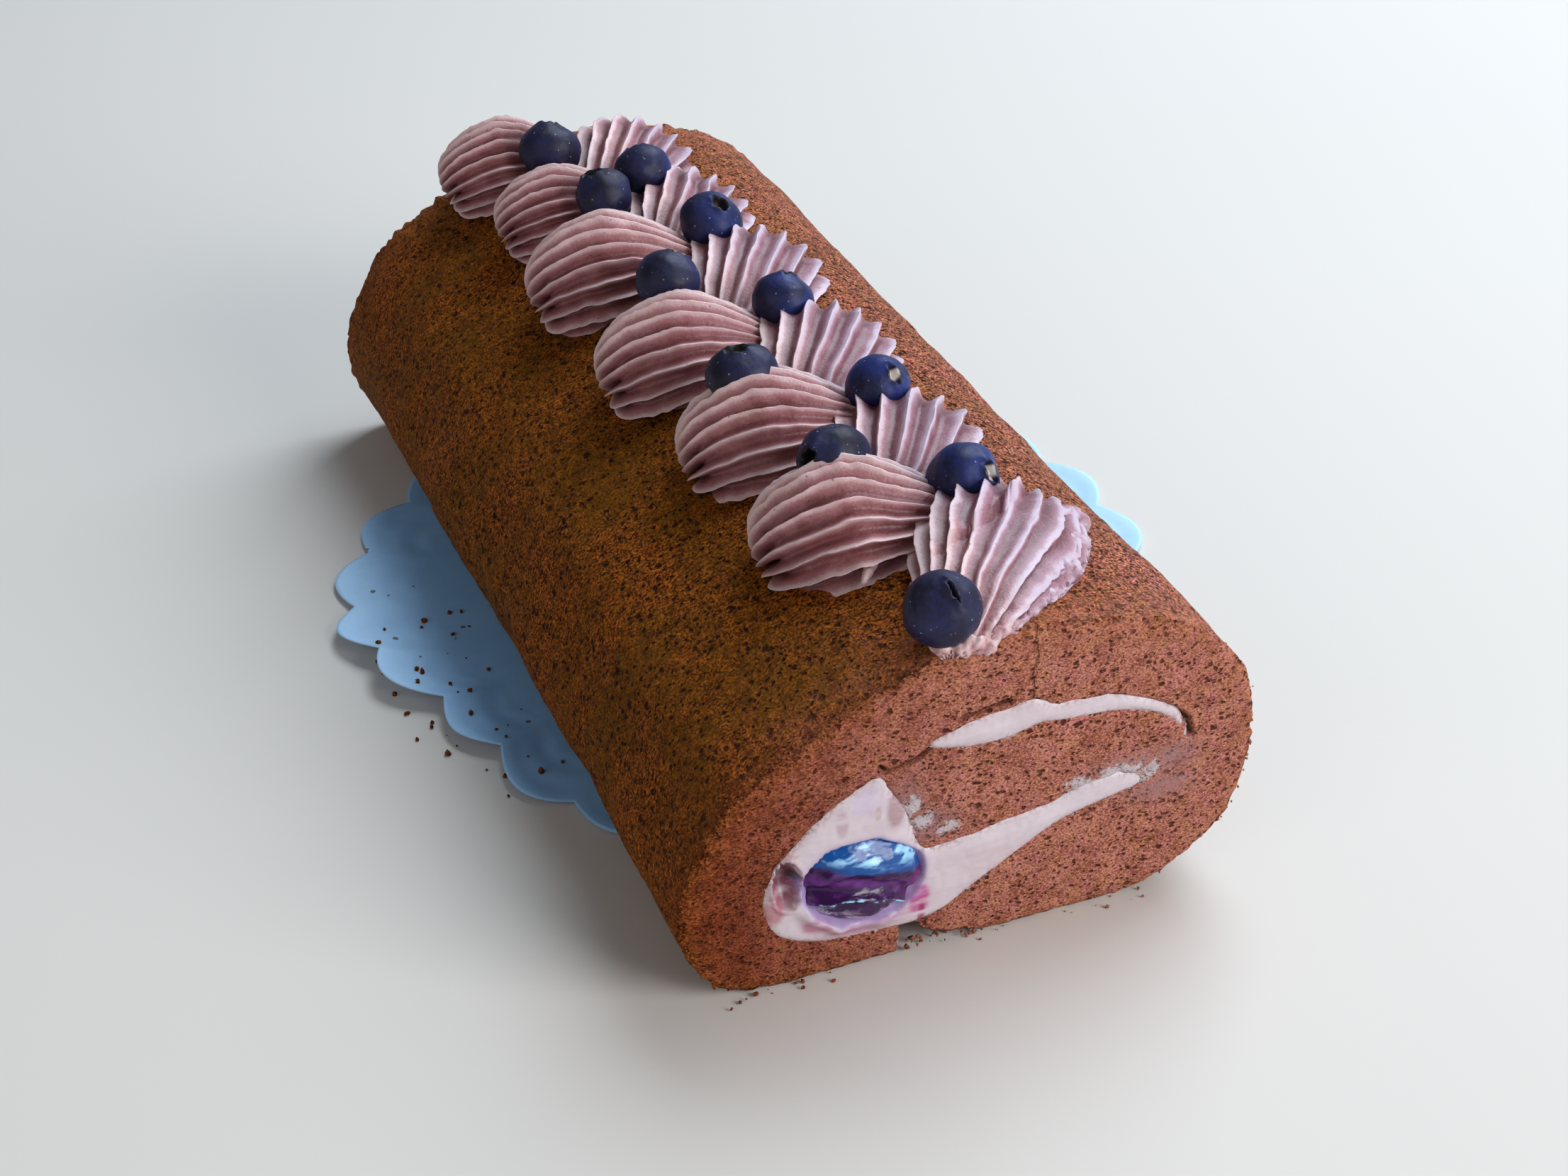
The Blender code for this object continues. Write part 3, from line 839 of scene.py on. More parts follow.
@dataclass(frozen=True)
class BerryFinish:
    """Dry dark blueberry skin with a little bloom and pale dust, painted cool light on the right and
    painted shade in the crown.
    """

    dark: Colour = (0.006, 0.004, 0.013)
    bloom: Colour = (0.018, 0.021, 0.088)
    # painted cool window light on the berries to the right
    painted_cool_light: Colour = (1.0, 1.7, 2.3)
    # the calyx's dark colour and painted shade in the crown's hollow
    crown: Colour = (0.006, 0.004, 0.006)
    fleck: Colour = (0.780, 0.720, 0.660)
    dust: Colour = (0.220, 0.220, 0.330)

    def material(self) -> bpy.types.Material:
        """Builds the material. It reads the marks crown and fleck."""
        sketch = Paint("blueberry_skin")
        place = sketch.place()
        crown = sketch.mark("crown")
        mottle = sketch.mottle(place, 190.0, 0.3)
        colour = sketch.colour_mix(sketch.times(mottle, 0.8), self.dark, self.bloom)
        across = sketch.axis(place, "X")
        # Painted light: the berries on the right are tinted by the cool window light.
        colour = sketch.tinted(colour, self.painted_cool_light, sketch.remap(across, 0.0, 11 * MM))
        # The crown: partly the calyx's own dark colour, partly painted shade in its hollow.
        colour = sketch.colour_mix(crown, colour, self.crown)
        specks = sketch.specks(place, 1250.0, 0.26, 0.18)
        dust = sketch.times(specks, sketch.math("SUBTRACT", 0.85, crown))
        colour = sketch.colour_mix(dust, colour, self.dust)
        colour = sketch.colour_mix(sketch.mark("fleck"), colour, self.fleck)
        grain = sketch.noise(place, 1500.0, 4.0, 0.6)
        return sketch.done(colour, (grain, 0.45, 0.14 * MM), Roughness=0.5,
                           Specular_IOR_Level=0.28)


@dataclass(frozen=True)
class CutBerryFinish:
    """The wet torn blueberry in the filling: blue skin over purple flesh, streaked with cream, with
    painted reflections.
    """

    flesh: Colour = (0.026, 0.001, 0.048)
    lit_flesh: Colour = (0.170, 0.020, 0.270)
    skin: Colour = (0.002, 0.070, 0.290)
    # painted reflection of the sky
    painted_sky_reflection: Colour = (0.360, 0.690, 0.980)
    magenta: Colour = (0.190, 0.003, 0.120)
    cream: Colour = (0.600, 0.530, 0.680)

    def material(self) -> bpy.types.Material:
        """Builds the material. It reads the marks rise and across, in mm from the middle, and
        ledge, in mm from the ledge."""
        sketch = Paint("cut_blueberry")
        place = sketch.place()
        drag = sketch.stretched(place, (0.45, 1.0, 1.3), (0.0, 0.35, 0.0))
        wave = sketch.times(sketch.noise(drag, 260.0, 3.0), 3.4)
        rise = sketch.math("SUBTRACT", sketch.math("ADD", sketch.mark("rise"), wave), 1.7)
        streak = sketch.noise(drag, 520.0, 4.0, 0.6)
        colour = sketch.colour_mix(sketch.remap(streak, 0.50, 0.78), self.flesh, self.lit_flesh)
        away = sketch.math("ABSOLUTE", sketch.math("SUBTRACT", rise, 0.2))
        sheen = sketch.times(sketch.remap(away, 0.0, 1.3, 1.0, 0.0), 0.5)
        colour = sketch.colour_mix(sheen, colour, self.lit_flesh)
        right = sketch.remap(sketch.mark("across"), 6.5, 9.5, 0.0, 0.8)
        colour = sketch.colour_mix(right, colour, self.magenta)
        above = sketch.remap(rise, 1.9, 2.9)
        colour = sketch.colour_mix(above, colour, self.skin)
        # Painted reflection: cyan patches of sky light on the top of the berry.
        wet = sketch.times(sketch.remap(rise, 2.6, 4.8),
                           sketch.remap(sketch.noise(drag, 420.0, 3.0), 0.47, 0.60))
        colour = sketch.colour_mix(wet, colour, self.painted_sky_reflection)
        colour = sketch.colour_mix(sketch.remap(rise, 6.6, 8.0), colour, self.cream)
        below = sketch.remap(rise, -6.0, -3.6, 1.0, 0.0)
        smeared = sketch.times(below, sketch.remap(streak, 0.46, 0.58))
        buried = sketch.remap(rise, -7.9, -6.6, 1.0, 0.0)
        colour = sketch.colour_mix(sketch.math("MAXIMUM", smeared, buried), colour, self.cream)
        # Painted reflection: a thin broken cyan line along the ledge.
        line = sketch.remap(sketch.math("ABSOLUTE", sketch.mark("ledge")), 0.05, 0.28, 1.0, 0.0)
        line = sketch.times(line, sketch.remap(sketch.noise(place, 520.0, 2.0), 0.44, 0.54))
        colour = sketch.colour_mix(line, colour, self.painted_sky_reflection)
        return sketch.done(colour, (streak, 0.5, 0.5 * MM), Roughness=0.24,
                           Specular_IOR_Level=0.35, Coat_Weight=0.2, Coat_Roughness=0.05)


@dataclass(frozen=True)
class PaperFinish:
    """Thin bluish white paper with crumb dust and a painted shadow of the roll."""

    white: Colour = (0.450, 0.700, 0.980)
    worn: Colour = (0.390, 0.630, 0.920)
    # painted shadow of the roll
    painted_roll_shadow: Colour = (0.62, 0.80, 0.95)
    crumb: Colour = (0.080, 0.030, 0.020)

    def material(self) -> bpy.types.Material:
        """Builds the material."""
        sketch = Paint("doily_paper")
        place = sketch.place()
        colour = sketch.colour_mix(sketch.mottle(place, 90.0, 0.3), self.white, self.worn)
        across = sketch.axis(place, "X")
        # Painted shadow: the paper under and beside the roll is darkened.
        under = sketch.remap(sketch.math("ABSOLUTE", across), 46 * MM, 66 * MM, 1.0, 0.0)
        colour = sketch.tinted(colour, self.painted_roll_shadow, under)
        specks = sketch.specks(place, 420.0, 0.10, 0.18)
        colour = sketch.colour_mix(sketch.times(specks, 0.8), colour, self.crumb)
        fibre = sketch.noise(place, 2600.0, 4.0, 0.6)
        return sketch.done(colour, (fibre, 0.3, 0.1 * MM), Roughness=0.75)


@dataclass(frozen=True)
class FloorFinish:
    """Plain pale floor."""

    colour: Colour = (0.64, 0.61, 0.575)

    def material(self) -> bpy.types.Material:
        """Builds the material."""
        sketch = Paint("pale_floor")
        mottle = sketch.mottle(sketch.place(), 9.0, 0.2)
        tint = sketch.colour_mix(sketch.times(mottle, 0.06), self.colour,
                                 tuple(0.9 * part for part in self.colour))
        return sketch.done(tint, None, Roughness=0.7)


# The roll

@dataclass(frozen=True)
class RollForm:
    """The roll's size, and how its section changes from the near face to the far one."""

    width: float = 90 * MM
    height: float = 52 * MM
    rise: float = 0.07
    drift: float = 3 * MM
    near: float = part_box("sponge")[0].y
    far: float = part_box("sponge")[1].y

    def place(self, points: Array) -> Array:
        """Carries points of the near section back along the roll.

        Formula: with s the share of the length, x moves left by drift times s², and z grows by
        rise times s².

        Args:
            points: x, y and z in the near section's own sizes.

        Returns:
            The points in the frame.
        """
        share = (points[..., 1] - self.near) / (self.far - self.near)
        placed = np.array(points, float)
        placed[..., 0] -= self.drift * share ** 2
        placed[..., 2] *= 1 + self.rise * share ** 2
        return placed

    def spot(self, x: float, back: float, z: float) -> Array:
        """A place given in mm: right of the middle, back from the near face, and up."""
        return self.place(np.array((x * MM, self.near + back * MM, z * MM)))

    def rows(self, first: float, last: float, count: int) -> Array:
        """Places along Y from the near face to the far one, closer together at the near face."""
        share = np.linspace(0, 1, count)
        growth = (last - first) / (last + first)
        return self.near + (self.far - self.near) * ((1 - growth) * share + growth * share ** 2)


FORM = RollForm()

# Outlines of the near cut face in mm, anticlockwise, as in the solids
ROLL_SHARES = np.array([
    (0.10, 0.0), (0.45, 0.0), (0.68, 0.03), (0.88, 0.15), (0.97, 0.29), (1.0, 0.48), (0.965, 0.66),
    (0.84, 0.82), (0.62, 0.93), (0.26, 1.0), (0.0, 1.0), (-0.26, 0.945), (-0.59, 0.81),
    (-0.82, 0.675), (-0.93, 0.52), (-0.995, 0.38), (-0.995, 0.25), (-0.94, 0.13), (-0.84, 0.03),
    (-0.68, 0.0), (-0.45, 0.0),
])
UPPER_CREAM = np.array([
    (-7.6, 36.7), (-2.2, 35.1), (2.3, 34.8), (5.8, 35.2), (9.6, 36.1), (14.0, 35.6), (21.0, 35.1),
    (26.5, 33.6), (30.6, 31.3), (32.6, 29.2), (31.6, 32.0), (28.2, 34.9), (24.4, 36.7),
    (20.6, 37.9), (15.2, 38.4), (11.6, 38.7), (8.4, 40.3), (5.2, 40.0), (1.1, 39.7), (-4.1, 38.5),
])
FILLING = np.array([
    (-12.6, 5.7), (-8.0, 5.8), (-4.0, 7.1), (1.1, 10.2), (7.1, 13.9), (13.0, 17.2), (20.3, 19.1),
    (26.4, 20.6), (24.6, 23.0), (18.2, 23.1), (11.0, 21.1), (3.9, 20.0), (-5.0, 18.5),
    (-8.8, 19.2), (-11.0, 25.8), (-13.6, 30.4), (-15.4, 33.6), (-18.9, 32.0), (-23.7, 28.8),
    (-28.6, 24.2), (-31.4, 20.3), (-32.6, 16.0), (-31.4, 11.2), (-28.2, 8.2), (-22.0, 6.3),
])
CLEAN_CUT = np.array([(-11.7, 0.0), (-11.7, 5.7)])
TORN_EDGE = np.array([(-9.0, 5.7), (-9.0, 4.6), (-6.9, 2.8), (-3.7, 1.6), (0.6, 0.5), (0.8, 0.0)])


def roll_outline() -> Array:
    """The roll's outer edge at the near cut face."""
    return smooth_curve(ROLL_SHARES * (FORM.width / 2, FORM.height))


def skin_lift(points: Array, behind: Array) -> Array:
    """How far the baked skin stands out from the roll's outline, in mm.

    Formula: waves of four sizes less shallow pores, and crumbly wear at the cut ends that fades
    by exp(-behind / 1.5 mm).

    Args:
        points: places on the outline, in the frame.
        behind: the distance of each from the nearer cut end.

    Returns:
        One distance for each point.
    """
    lift = waves(points, 1, (0.55, 24 * MM), (0.30, 9 * MM), (0.14, 3 * MM), (0.12, 1.3 * MM))
    lift -= 0.30 * pores(points, 2.6 * MM, 11, 0.16, 0.40)
    return lift + 0.60 * np.exp(-behind / (1.5 * MM)) * (smooth_noise(points, 1.1 * MM, 5) - 0.3)


@dataclass
class Sponge:
    """The rolled sponge sheet, with the slit under the cream and the pores of its cut ends."""

    finish: bpy.types.Material
    skin_spacing: float = 0.62 * MM
    hidden_spacing: float = 1.3 * MM
    near_spacing: float = 0.42 * MM
    far_spacing: float = 0.62 * MM
    skin_rows: int = 128
    paper_clearance: float = 0.75 * MM
    paper_reach: float = 71 * MM
    paper_middle: tuple[float, float] = (4 * MM, 8 * MM)
    smears: tuple = ((-9.9, 27.4, 1.7, 2.6), (-8.2, 23.8, 2.2, 2.6), (23.0, 24.2, 6.0, 1.8),
                     (27.9, 22.6, 2.6, 2.4), (33.5, 28.3, 0.8, 2.0), (16.0, 23.8, 3.6, 1.4),
                     (-4.6, 21.6, 3.4, 1.6))
    # Creases between the wraps, grooved and darkened with painted shade.
    creases: tuple = (((-15.3, 35.3), (-14.3, 34.2), (-12.3, 34.5), (-9.6, 35.3), (-6.4, 37.0)),
                      ((-3.2, 40.2), (1.0, 40.9), (4.4, 41.0)),
                      ((27.2, 34.7), (30.8, 32.9), (33.4, 30.3), (34.3, 27.4)))
    veils: tuple = ((-11.2, 27.0, 2.9, 4.6), (-7.6, 22.8, 4.2, 2.6), (24.0, 24.6, 6.0, 1.8),
                    (31.5, 24.0, 4.0, 2.6), (30.0, 19.0, 5.0, 2.0))

    def outline(self) -> Array:
        """The section's outer edge, anticlockwise from right of the slit's mouth."""
        return np.maximum(roll_outline(), (-FORM.width, 0))

    def edges(self) -> list[Array]:
        """The sheet's edge and the edge round the upper cream.

        Formula: the sheet's edge runs round the outside from the torn edge to the clean cut, up
        the cut, the other way round the cream pocket, and down the torn edge.

        Returns:
            The two closed loops, each with the sponge on its left.
        """
        outer = self.outline()
        mouth = (outer[:, 1] < 0.1 * MM) & (outer[:, 0] > CLEAN_CUT[0, 0] * MM)
        mouth &= outer[:, 0] < TORN_EDGE[-1, 0] * MM
        outer = np.roll(outer, -1 - np.flatnonzero(mouth).max(), axis=0)[:-mouth.sum()]
        resting = (outer[:-1, 1] < 0.2 * MM) & (np.abs(outer[:-1, 0]) < 0.6 * FORM.width / 2)
        outer = respace(outer, np.where(resting, self.hidden_spacing, self.skin_spacing))
        pocket = smooth_curve(FILLING) * MM
        mouth = (pocket[:, 1] < 6.4 * MM) & (pocket[:, 0] > CLEAN_CUT[0, 0] * MM)
        mouth &= pocket[:, 0] < TORN_EDGE[0, 0] * MM
        pocket = np.roll(pocket, -1 - np.flatnonzero(mouth).max(), axis=0)[:-mouth.sum()]
        pocket = respace(pocket[::-1], self.hidden_spacing)
        clean = respace(CLEAN_CUT * MM, self.skin_spacing)
        torn = respace(TORN_EDGE * MM, 0.5 * self.skin_spacing)
        sheet = np.vstack([outer[1:-1], clean[:-1], pocket, torn[1:]])
        upper = respace(smooth_curve(UPPER_CREAM) * MM, self.hidden_spacing, closed=True)
        return [sheet, upper[::-1]]

    def build(self) -> bpy.types.Object:
        """Makes the sponge.

        Formula: the section is carried along the roll. The skin's relief moves it along its own
        direction out, and waves and deeper pores move its ends along Y, where the edge is also
        worn round.

        Returns:
            The finished piece.
        """
        loops = self.edges()
        rows = [FORM.rows(0.55, 1.9, self.skin_rows), FORM.rows(1, 1, 10)]
        form = Extrusion.build(loops, rows, (self.near_spacing, self.far_spacing))
        points = FORM.place(form.points)
        section = form.points[:, (0, 2)]
        rim = edge_distance(section, [self.outline()])
        behind = np.minimum(form.points[:, 1] - FORM.near, FORM.far - form.points[:, 1])
        on_end = form.end != 0
        wall = form.loop >= 0
        outer_skin = wall & (rim < 0.3 * MM)
        torn = wall & ~outer_skin & (section[:, 1] < 5.6 * MM) & (section[:, 0] > -11 * MM)

        lift = skin_lift(points, behind) * np.where(outer_skin, 1.0, np.where(torn, 2.4, 0.0))
        move = np.zeros_like(points)
        move[:, (0, 2)] = form.out * lift[:, None] * MM

        pit = 0.50 * pores(points, 2.3 * MM, 21, 0.12, 0.36)
        pit = np.maximum(pit, 0.34 * pores(points, 1.2 * MM, 31, 0.20, 0.44))
        face = pit - waves(points, 6, (0.20, 7 * MM), (0.13, 2 * MM), (0.10, 0.8 * MM))
        face += 0.45 * np.exp(-rim / (0.7 * MM)) + 0.25 * np.exp(-form.depth / (0.5 * MM))
        crease = self._creases(section)
        face += 1.1 * crease
        move[:, 1] = np.where(on_end, -form.end * face * MM, 0)
        points = points + move
        over_paper = np.hypot(points[:, 0] - self.paper_middle[0],
                              points[:, 1] - self.paper_middle[1]) < self.paper_reach
        floor = np.where(over_paper, self.paper_clearance, 0)
        points[:, 2] = np.maximum(points[:, 2], floor)

        away = behind * (1 - 0.5 * smooth_noise(points, 2.2 * MM, 9))
        blend = 0.45 * np.exp(-away / (3.0 * MM)) + 0.22 * np.exp(-away / (10 * MM))
        browned = 1 - 0.35 * np.exp(-rim * (1 - 0.5 * smooth_noise(points, 2 * MM, 9)) / (2 * MM))
        marks = {
            "cut": np.where(on_end, browned, np.where(outer_skin, blend, 1.0)),
            "rim": np.where(on_end, np.exp(-rim / (1.3 * MM)), np.exp(-behind / (1.8 * MM))),
            "smear": self._spread(section, on_end, self.smears, 0.58)
            + np.where(on_end, 0.40 * np.exp(-form.depth / (0.35 * MM)) * (rim > MM), 0),
            "veil": self._spread(section, on_end, self.veils, 1.0),
            # the creases, darkened in the material as painted shade
            "crease": np.where(on_end, crease, 0),
        }
        piece = mesh_object("rolled_sponge", points, form.faces, self.finish, marks)
        dress(piece, "sponge", "sponge")
        return piece

    def _creases(self, section: Array) -> Array:
        """How near each point is to the creases between the wraps, 1 on them, as a soft groove and
        painted shade.
        """
        paths = [np.array(path) * MM for path in self.creases]
        away = edge_distance(section, [np.vstack([path, path[::-1]]) for path in paths])
        uneven = 1 + 0.5 * smooth_noise(np.insert(section, 1, 0.0, axis=1), 1.5 * MM, 10)
        return np.exp(-(away / (0.34 * MM * uneven)) ** 2)

    @staticmethod
    def _spread(section: Array, on_end: Array, patches: tuple, strength: float) -> Array:
        """How much of each end's crumb lies under soft patches, given as x, z, width and height."""
        total = np.zeros(len(section))
        for x, z, wide, high in patches:
            share = ((section - np.array((x, z)) * MM) / (np.array((wide, high)) * MM)) ** 2
            total = np.maximum(total, strength * np.exp(-share.sum(axis=1)))
        return np.where(on_end, total, 0)


@dataclass
class CreamLayer:
    """One layer of cream that runs through the roll and shows at both cut ends."""

    name: str
    node: str
    corners: Array
    finish: bpy.types.Material
    spacing: float = 0.36 * MM
    overlap: float = 0.35 * MM
    seed: int = 40
    berry: "FillingBerry | None" = None

    def build(self) -> bpy.types.Object:
        """Makes the layer.

        Formula: the outline, grown a little into the sponge, is carried along the roll. Each end
        swells out from its edge, with long shallow drag marks, and gives way to the berry.

        Returns:
            The finished piece.
        """
        loop = respace(smooth_curve(self.corners) * MM, self.spacing, closed=True)
        loop = loop + self.overlap * outward(loop)
        near, far = FORM.near, FORM.far
        rows = np.concatenate([near + np.array((0, 0.6, 1.4)) * MM, np.linspace(near, far, 9)[1:-1],
                               far - np.array((1.4, 0.6, 0)) * MM])
        form = Extrusion.build([loop], [rows], (self.spacing, 1.5 * self.spacing))
        section = form.points[:, (0, 2)]
        swell = 1 - np.exp(-form.depth / (0.9 * MM))
        drag = form.points * (0.25, 1.0, 1.0)
        face = 0.75 * swell - 0.55 + 0.34 * swell * smooth_noise(drag, 2.2 * MM, self.seed)
        face += swell * waves(form.points, self.seed + 1, (0.30, 4.5 * MM), (0.07, 0.9 * MM))
        juice = np.zeros(len(section))
        if self.berry:
            face, juice = self.berry.make_room(section, face, form.end)
        points = FORM.place(form.points)
        points[:, 1] += form.end * face * MM
        marks = {"edge": np.where(form.end != 0, np.exp(-form.depth / (0.5 * MM)), 1.0),
                 "juice": juice}
        piece = mesh_object(self.name, points, form.faces, self.finish, marks)
        dress(piece, "filling_cream", self.node)
        return piece


@dataclass
class FillingBerry:
    """The torn blueberries that show in the filling, one at each cut face.

    Lengths are in mm. The tilt, in degrees, turns the berry's long axis down to the right.
    """

    finish: bpy.types.Material
    place: tuple[float, float] = (-17.6, 16.0)
    radii: tuple[float, float, float] = (10.2, 4.8, 7.6)
    tilt: float = 15.0
    depth: float = 2.4
    hollow: tuple[float, float] = (-29.2, 18.6)
    hollow_size: tuple[float, float] = (2.2, 4.2)
    rows: int = 90
    columns: int = 140

    def own(self, section: Array) -> Array:
        """Places on the cut face along the berry's long and short axis from its middle, in mm."""
        away = section / MM - self.place
        cosine, sine = np.cos(np.radians(self.tilt)), np.sin(np.radians(self.tilt))
        return np.stack([away[..., 0] * cosine - away[..., 1] * sine,
                         away[..., 0] * sine + away[..., 1] * cosine], axis=-1)

    def make_room(self, section: Array, face: Array, end: Array) -> tuple[Array, Array]:
        """The cream's relief with a seat for the berry, a lip round it and the hollow beside it.

        Formula: within the berry's ellipse the cream lies deeper by the square root of the way
        in. A lip stands round it, higher below and uneven. The hollow is a half ellipsoid.

        Args:
            section: x and z of the cream's points.
            face: how far each point of an end stands out, in mm.
            end: -1 at the near end and 1 at the far one.

        Returns:
            The new relief, and how much of the berry's juice the cream has taken up.
        """
        own = self.own(section)
        solid = np.insert(section, 1, 0.0, axis=1)
        level = np.linalg.norm(own / (self.radii[0], self.radii[2]), axis=1)
        level = level + 0.05 * smooth_noise(solid, 3.0 * MM, 54)
        low = np.clip(0.3 - own[:, 1] / self.radii[2], 0, 1.2)
        low = low * (1 - 0.8 * np.clip(own[:, 0] / self.radii[0], 0, 1))
        uneven = 1 + 0.6 * smooth_noise(solid, 2.4 * MM, 55)
        lip = np.exp(-((level - 1.02) / 0.16) ** 2) * (0.05 + 0.8 * low) * uneven
        seat = 3.6 * np.clip(0.95 - level, 0, 1) ** 0.5
        inner = 1 - (((section / MM - self.hollow) / self.hollow_size) ** 2).sum(axis=1)
        dug = 3.4 * np.clip(inner, 0, 1) ** 0.8
        edge = 0.5 * np.exp(-(np.minimum(inner, 0) / 0.35) ** 2) * (inner < 0)
        juice = np.exp(-(np.maximum(level - 0.90, 0) / 0.09) ** 2) * (end != 0)
        return face + lip - seat + np.where(end < 0, edge - dug, 0), juice

    def build(self) -> None:
        """Makes both berries.

        Formula: an ellipsoid with rings from its left to its right pole, wrinkled by waves of
        three sizes. Across its front runs a ledge, with the torn flesh hollowed out above it.
        """
        for name, middle, side in (("filling_blueberry_near", FORM.near, 1),
                                   ("filling_blueberry_far", FORM.far, -1)):
            level = np.pi * np.arange(1, self.rows + 1) / (self.rows + 1)
            turn = around(self.columns)
            ring = np.sin(level)[:, None]
            unit = np.stack([np.repeat(-np.cos(level)[:, None], self.columns, axis=1),
                             ring * np.cos(turn), ring * np.sin(turn)], axis=-1).reshape(-1, 3)
            unit = np.vstack([[(-1.0, 0, 0)], unit, [(1.0, 0, 0)]])
            local = unit * self.radii
            across, rise = local[:, 0], local[:, 2]
            ledge = rise + 1.8 + 0.035 * across ** 2 + 0.5 * smooth_noise(local, 2.5, 56)
            relief = 0.75 * np.exp(-(ledge / 0.45) ** 2) - 1.1 * np.exp(-((ledge - 2.3) / 1.5) ** 2)
            relief -= 0.5 * np.exp(-((ledge + 1.3) / 0.8) ** 2)
            relief += 0.35 * smooth_noise(local, 2.6, 51) + 0.10 * smooth_noise(local, 0.7, 53)
            relief += 0.28 * smooth_noise(local * (0.4, 1, 1), 1.1, 52)
            local = local * (1 + 0.05 * smooth_noise(local, 5.0, 57))[:, None]
            local[:, 1] -= side * np.where(unit[:, 1] * side < 0, relief, 0.0)
            slope = np.radians(self.tilt)
            turned = np.stack([local[:, 0] * np.cos(slope) + local[:, 2] * np.sin(slope),
                               local[:, 1],
                               local[:, 2] * np.cos(slope) - local[:, 0] * np.sin(slope)], axis=1)
            centre = FORM.place(np.array((self.place[0] * MM, middle + side * self.depth * MM,
                                          self.place[1] * MM)))
            piece = mesh_object(name.replace("filling", "torn"), centre + turned * MM,
                                ring_faces(self.rows, self.columns), self.finish,
                                {"rise": rise, "across": across, "ledge": ledge})
            dress(piece, "cut_blueberry", name)


# The topping

class Side(Enum):
    """The two rows of piped shells."""

    LEFT = "left"
    RIGHT = "right"


@dataclass(frozen=True)
class ShellRow:
    """One row of piped shells. Lengths are in mm and angles in degrees.

    A place is that of the fattest ring: to the right of the roll's middle, back from the near
    face, and the shell's size. The crest width is a share of a rib, the fingers are the part of
    the head by which valleys stop short, the hook is how far the head curls down, and a smaller
    blunt makes its end fuller. The first is the number of the row's first shell.
    """

    side: Side
    middle: float
    heading: float
    lean: float
    head: float
    tail: float
    taper: float
    width: float
    height: float
    bend: float
    ribs: int
    rib_depth: float
    crest_width: float
    sharpness: float
    fingers: float
    hook: float
    blunt: float
    places: tuple[tuple[float, float, float], ...]
    first: int = 1


LEFT_ROW = ShellRow(
    side=Side.LEFT, middle=51.3, heading=-19, lean=-15, head=14.6, tail=18.0, taper=0.45,
    width=27.6, height=11.0, bend=0.016, ribs=22, rib_depth=0.19, crest_width=0.16, sharpness=1.5,
    fingers=0.26, hook=22, blunt=0.46,
    places=((-4.0, 34.5, 1.0), (-4.5, 63.5, 1.0), (-8.0, 92.5, 0.98), (-9.0, 125.0, 1.0),
            (-9.2, 151.5, 0.82), (-12.4, 173.0, 0.86)))
RIGHT_ROW = ShellRow(
    side=Side.RIGHT, middle=50.0, heading=-122, lean=14, head=13.5, tail=27.0, taper=0.35,
    width=27.5, height=10.8, bend=0.012, ribs=19, rib_depth=0.165, crest_width=0.20,
    sharpness=1.8, fingers=0.20, hook=0, blunt=0.85, first=2,
    places=((12.0, 53.5, 1.0), (12.0, 84.5, 1.0), (12.0, 115.0, 1.0), (10.6, 143.0, 0.93),
            (9.2, 167.5, 0.93)))
RIGHT_FIRST = replace(RIGHT_ROW, middle=50.3, heading=-128, lean=13, head=16.5, bend=0.006, ribs=22,
                      rib_depth=0.18, crest_width=0.19, places=((12.8, 20.8, 1.05),), first=1)


@dataclass(frozen=True)
class Rim:
    """The torn edge that the first right shell keeps to, along the near end of the roll's top.

    The edge is given as x and y back from the near face, in mm.
    """

    edge: tuple = ((-20.0, 4.0), (-9.0, 2.0), (-7.0, 0.6), (-4.5, -0.2), (1.0, 0.0), (6.0, 1.6),
                   (10.0, 3.7), (13.0, 5.6), (19.5, 10.8), (24.0, 16.0), (29.0, 24.0), (40.0, 44.0))
    thickness: float = 0.55
    fullness: float = 7.0
    reach: float = 5.5

    def skin_height(self, points: Array) -> Array:
        """The height of the roll's skin over or under each point near the near face, in mm."""
        outline = roll_outline()
        outline = outline[outline[:, 1] > 0.6 * FORM.height]
        order = np.argsort(outline[:, 0])
        return np.interp(points[:, 0], outline[order, 0], outline[order, 1]) / MM

    def trim(self, points: Array) -> Array:
        """Holds a shell behind the edge and thins it towards it.

        Formula: with d the distance behind the edge, the shell may stand no higher over the skin
        than a thickness that grows from the edge by 1 - exp(-d / reach); a height h becomes
        1.6 h c / (h + c) at a cap of c, or stays h where that is less. What hangs in front of
        the cut face below the skin goes back into the sponge.

        Args:
            points: the shell's points in the frame.

        Returns:
            The trimmed points.
        """
        x, y, z = points.T / MM
        back = y - FORM.near / MM
        rough = waves(points, 91, (0.45, 1.7 * MM), (0.30, 0.6 * MM))
        line = np.interp(x, *np.array(self.edge).T) + rough
        behind = back - line
        skin = self.skin_height(points)
        over = z - skin
        cap = self.thickness + self.fullness * (1 - np.exp(-np.maximum(behind, 0) / self.reach))
        squashed = 1.6 * over * cap / np.maximum(over + cap, 0.1)
        near_edge = behind < 3 * self.reach
        over = np.where(near_edge & (over > 0), np.minimum(over, squashed), over)
        buried = over < -0.8
        back = np.where(buried, np.maximum(back, 0.8), np.maximum(back, line))
        over = np.where(behind < 0, np.clip(over, -0.2, 0.9 * self.thickness), over)
        return np.stack([x, back + FORM.near / MM, skin + over], axis=1) * MM


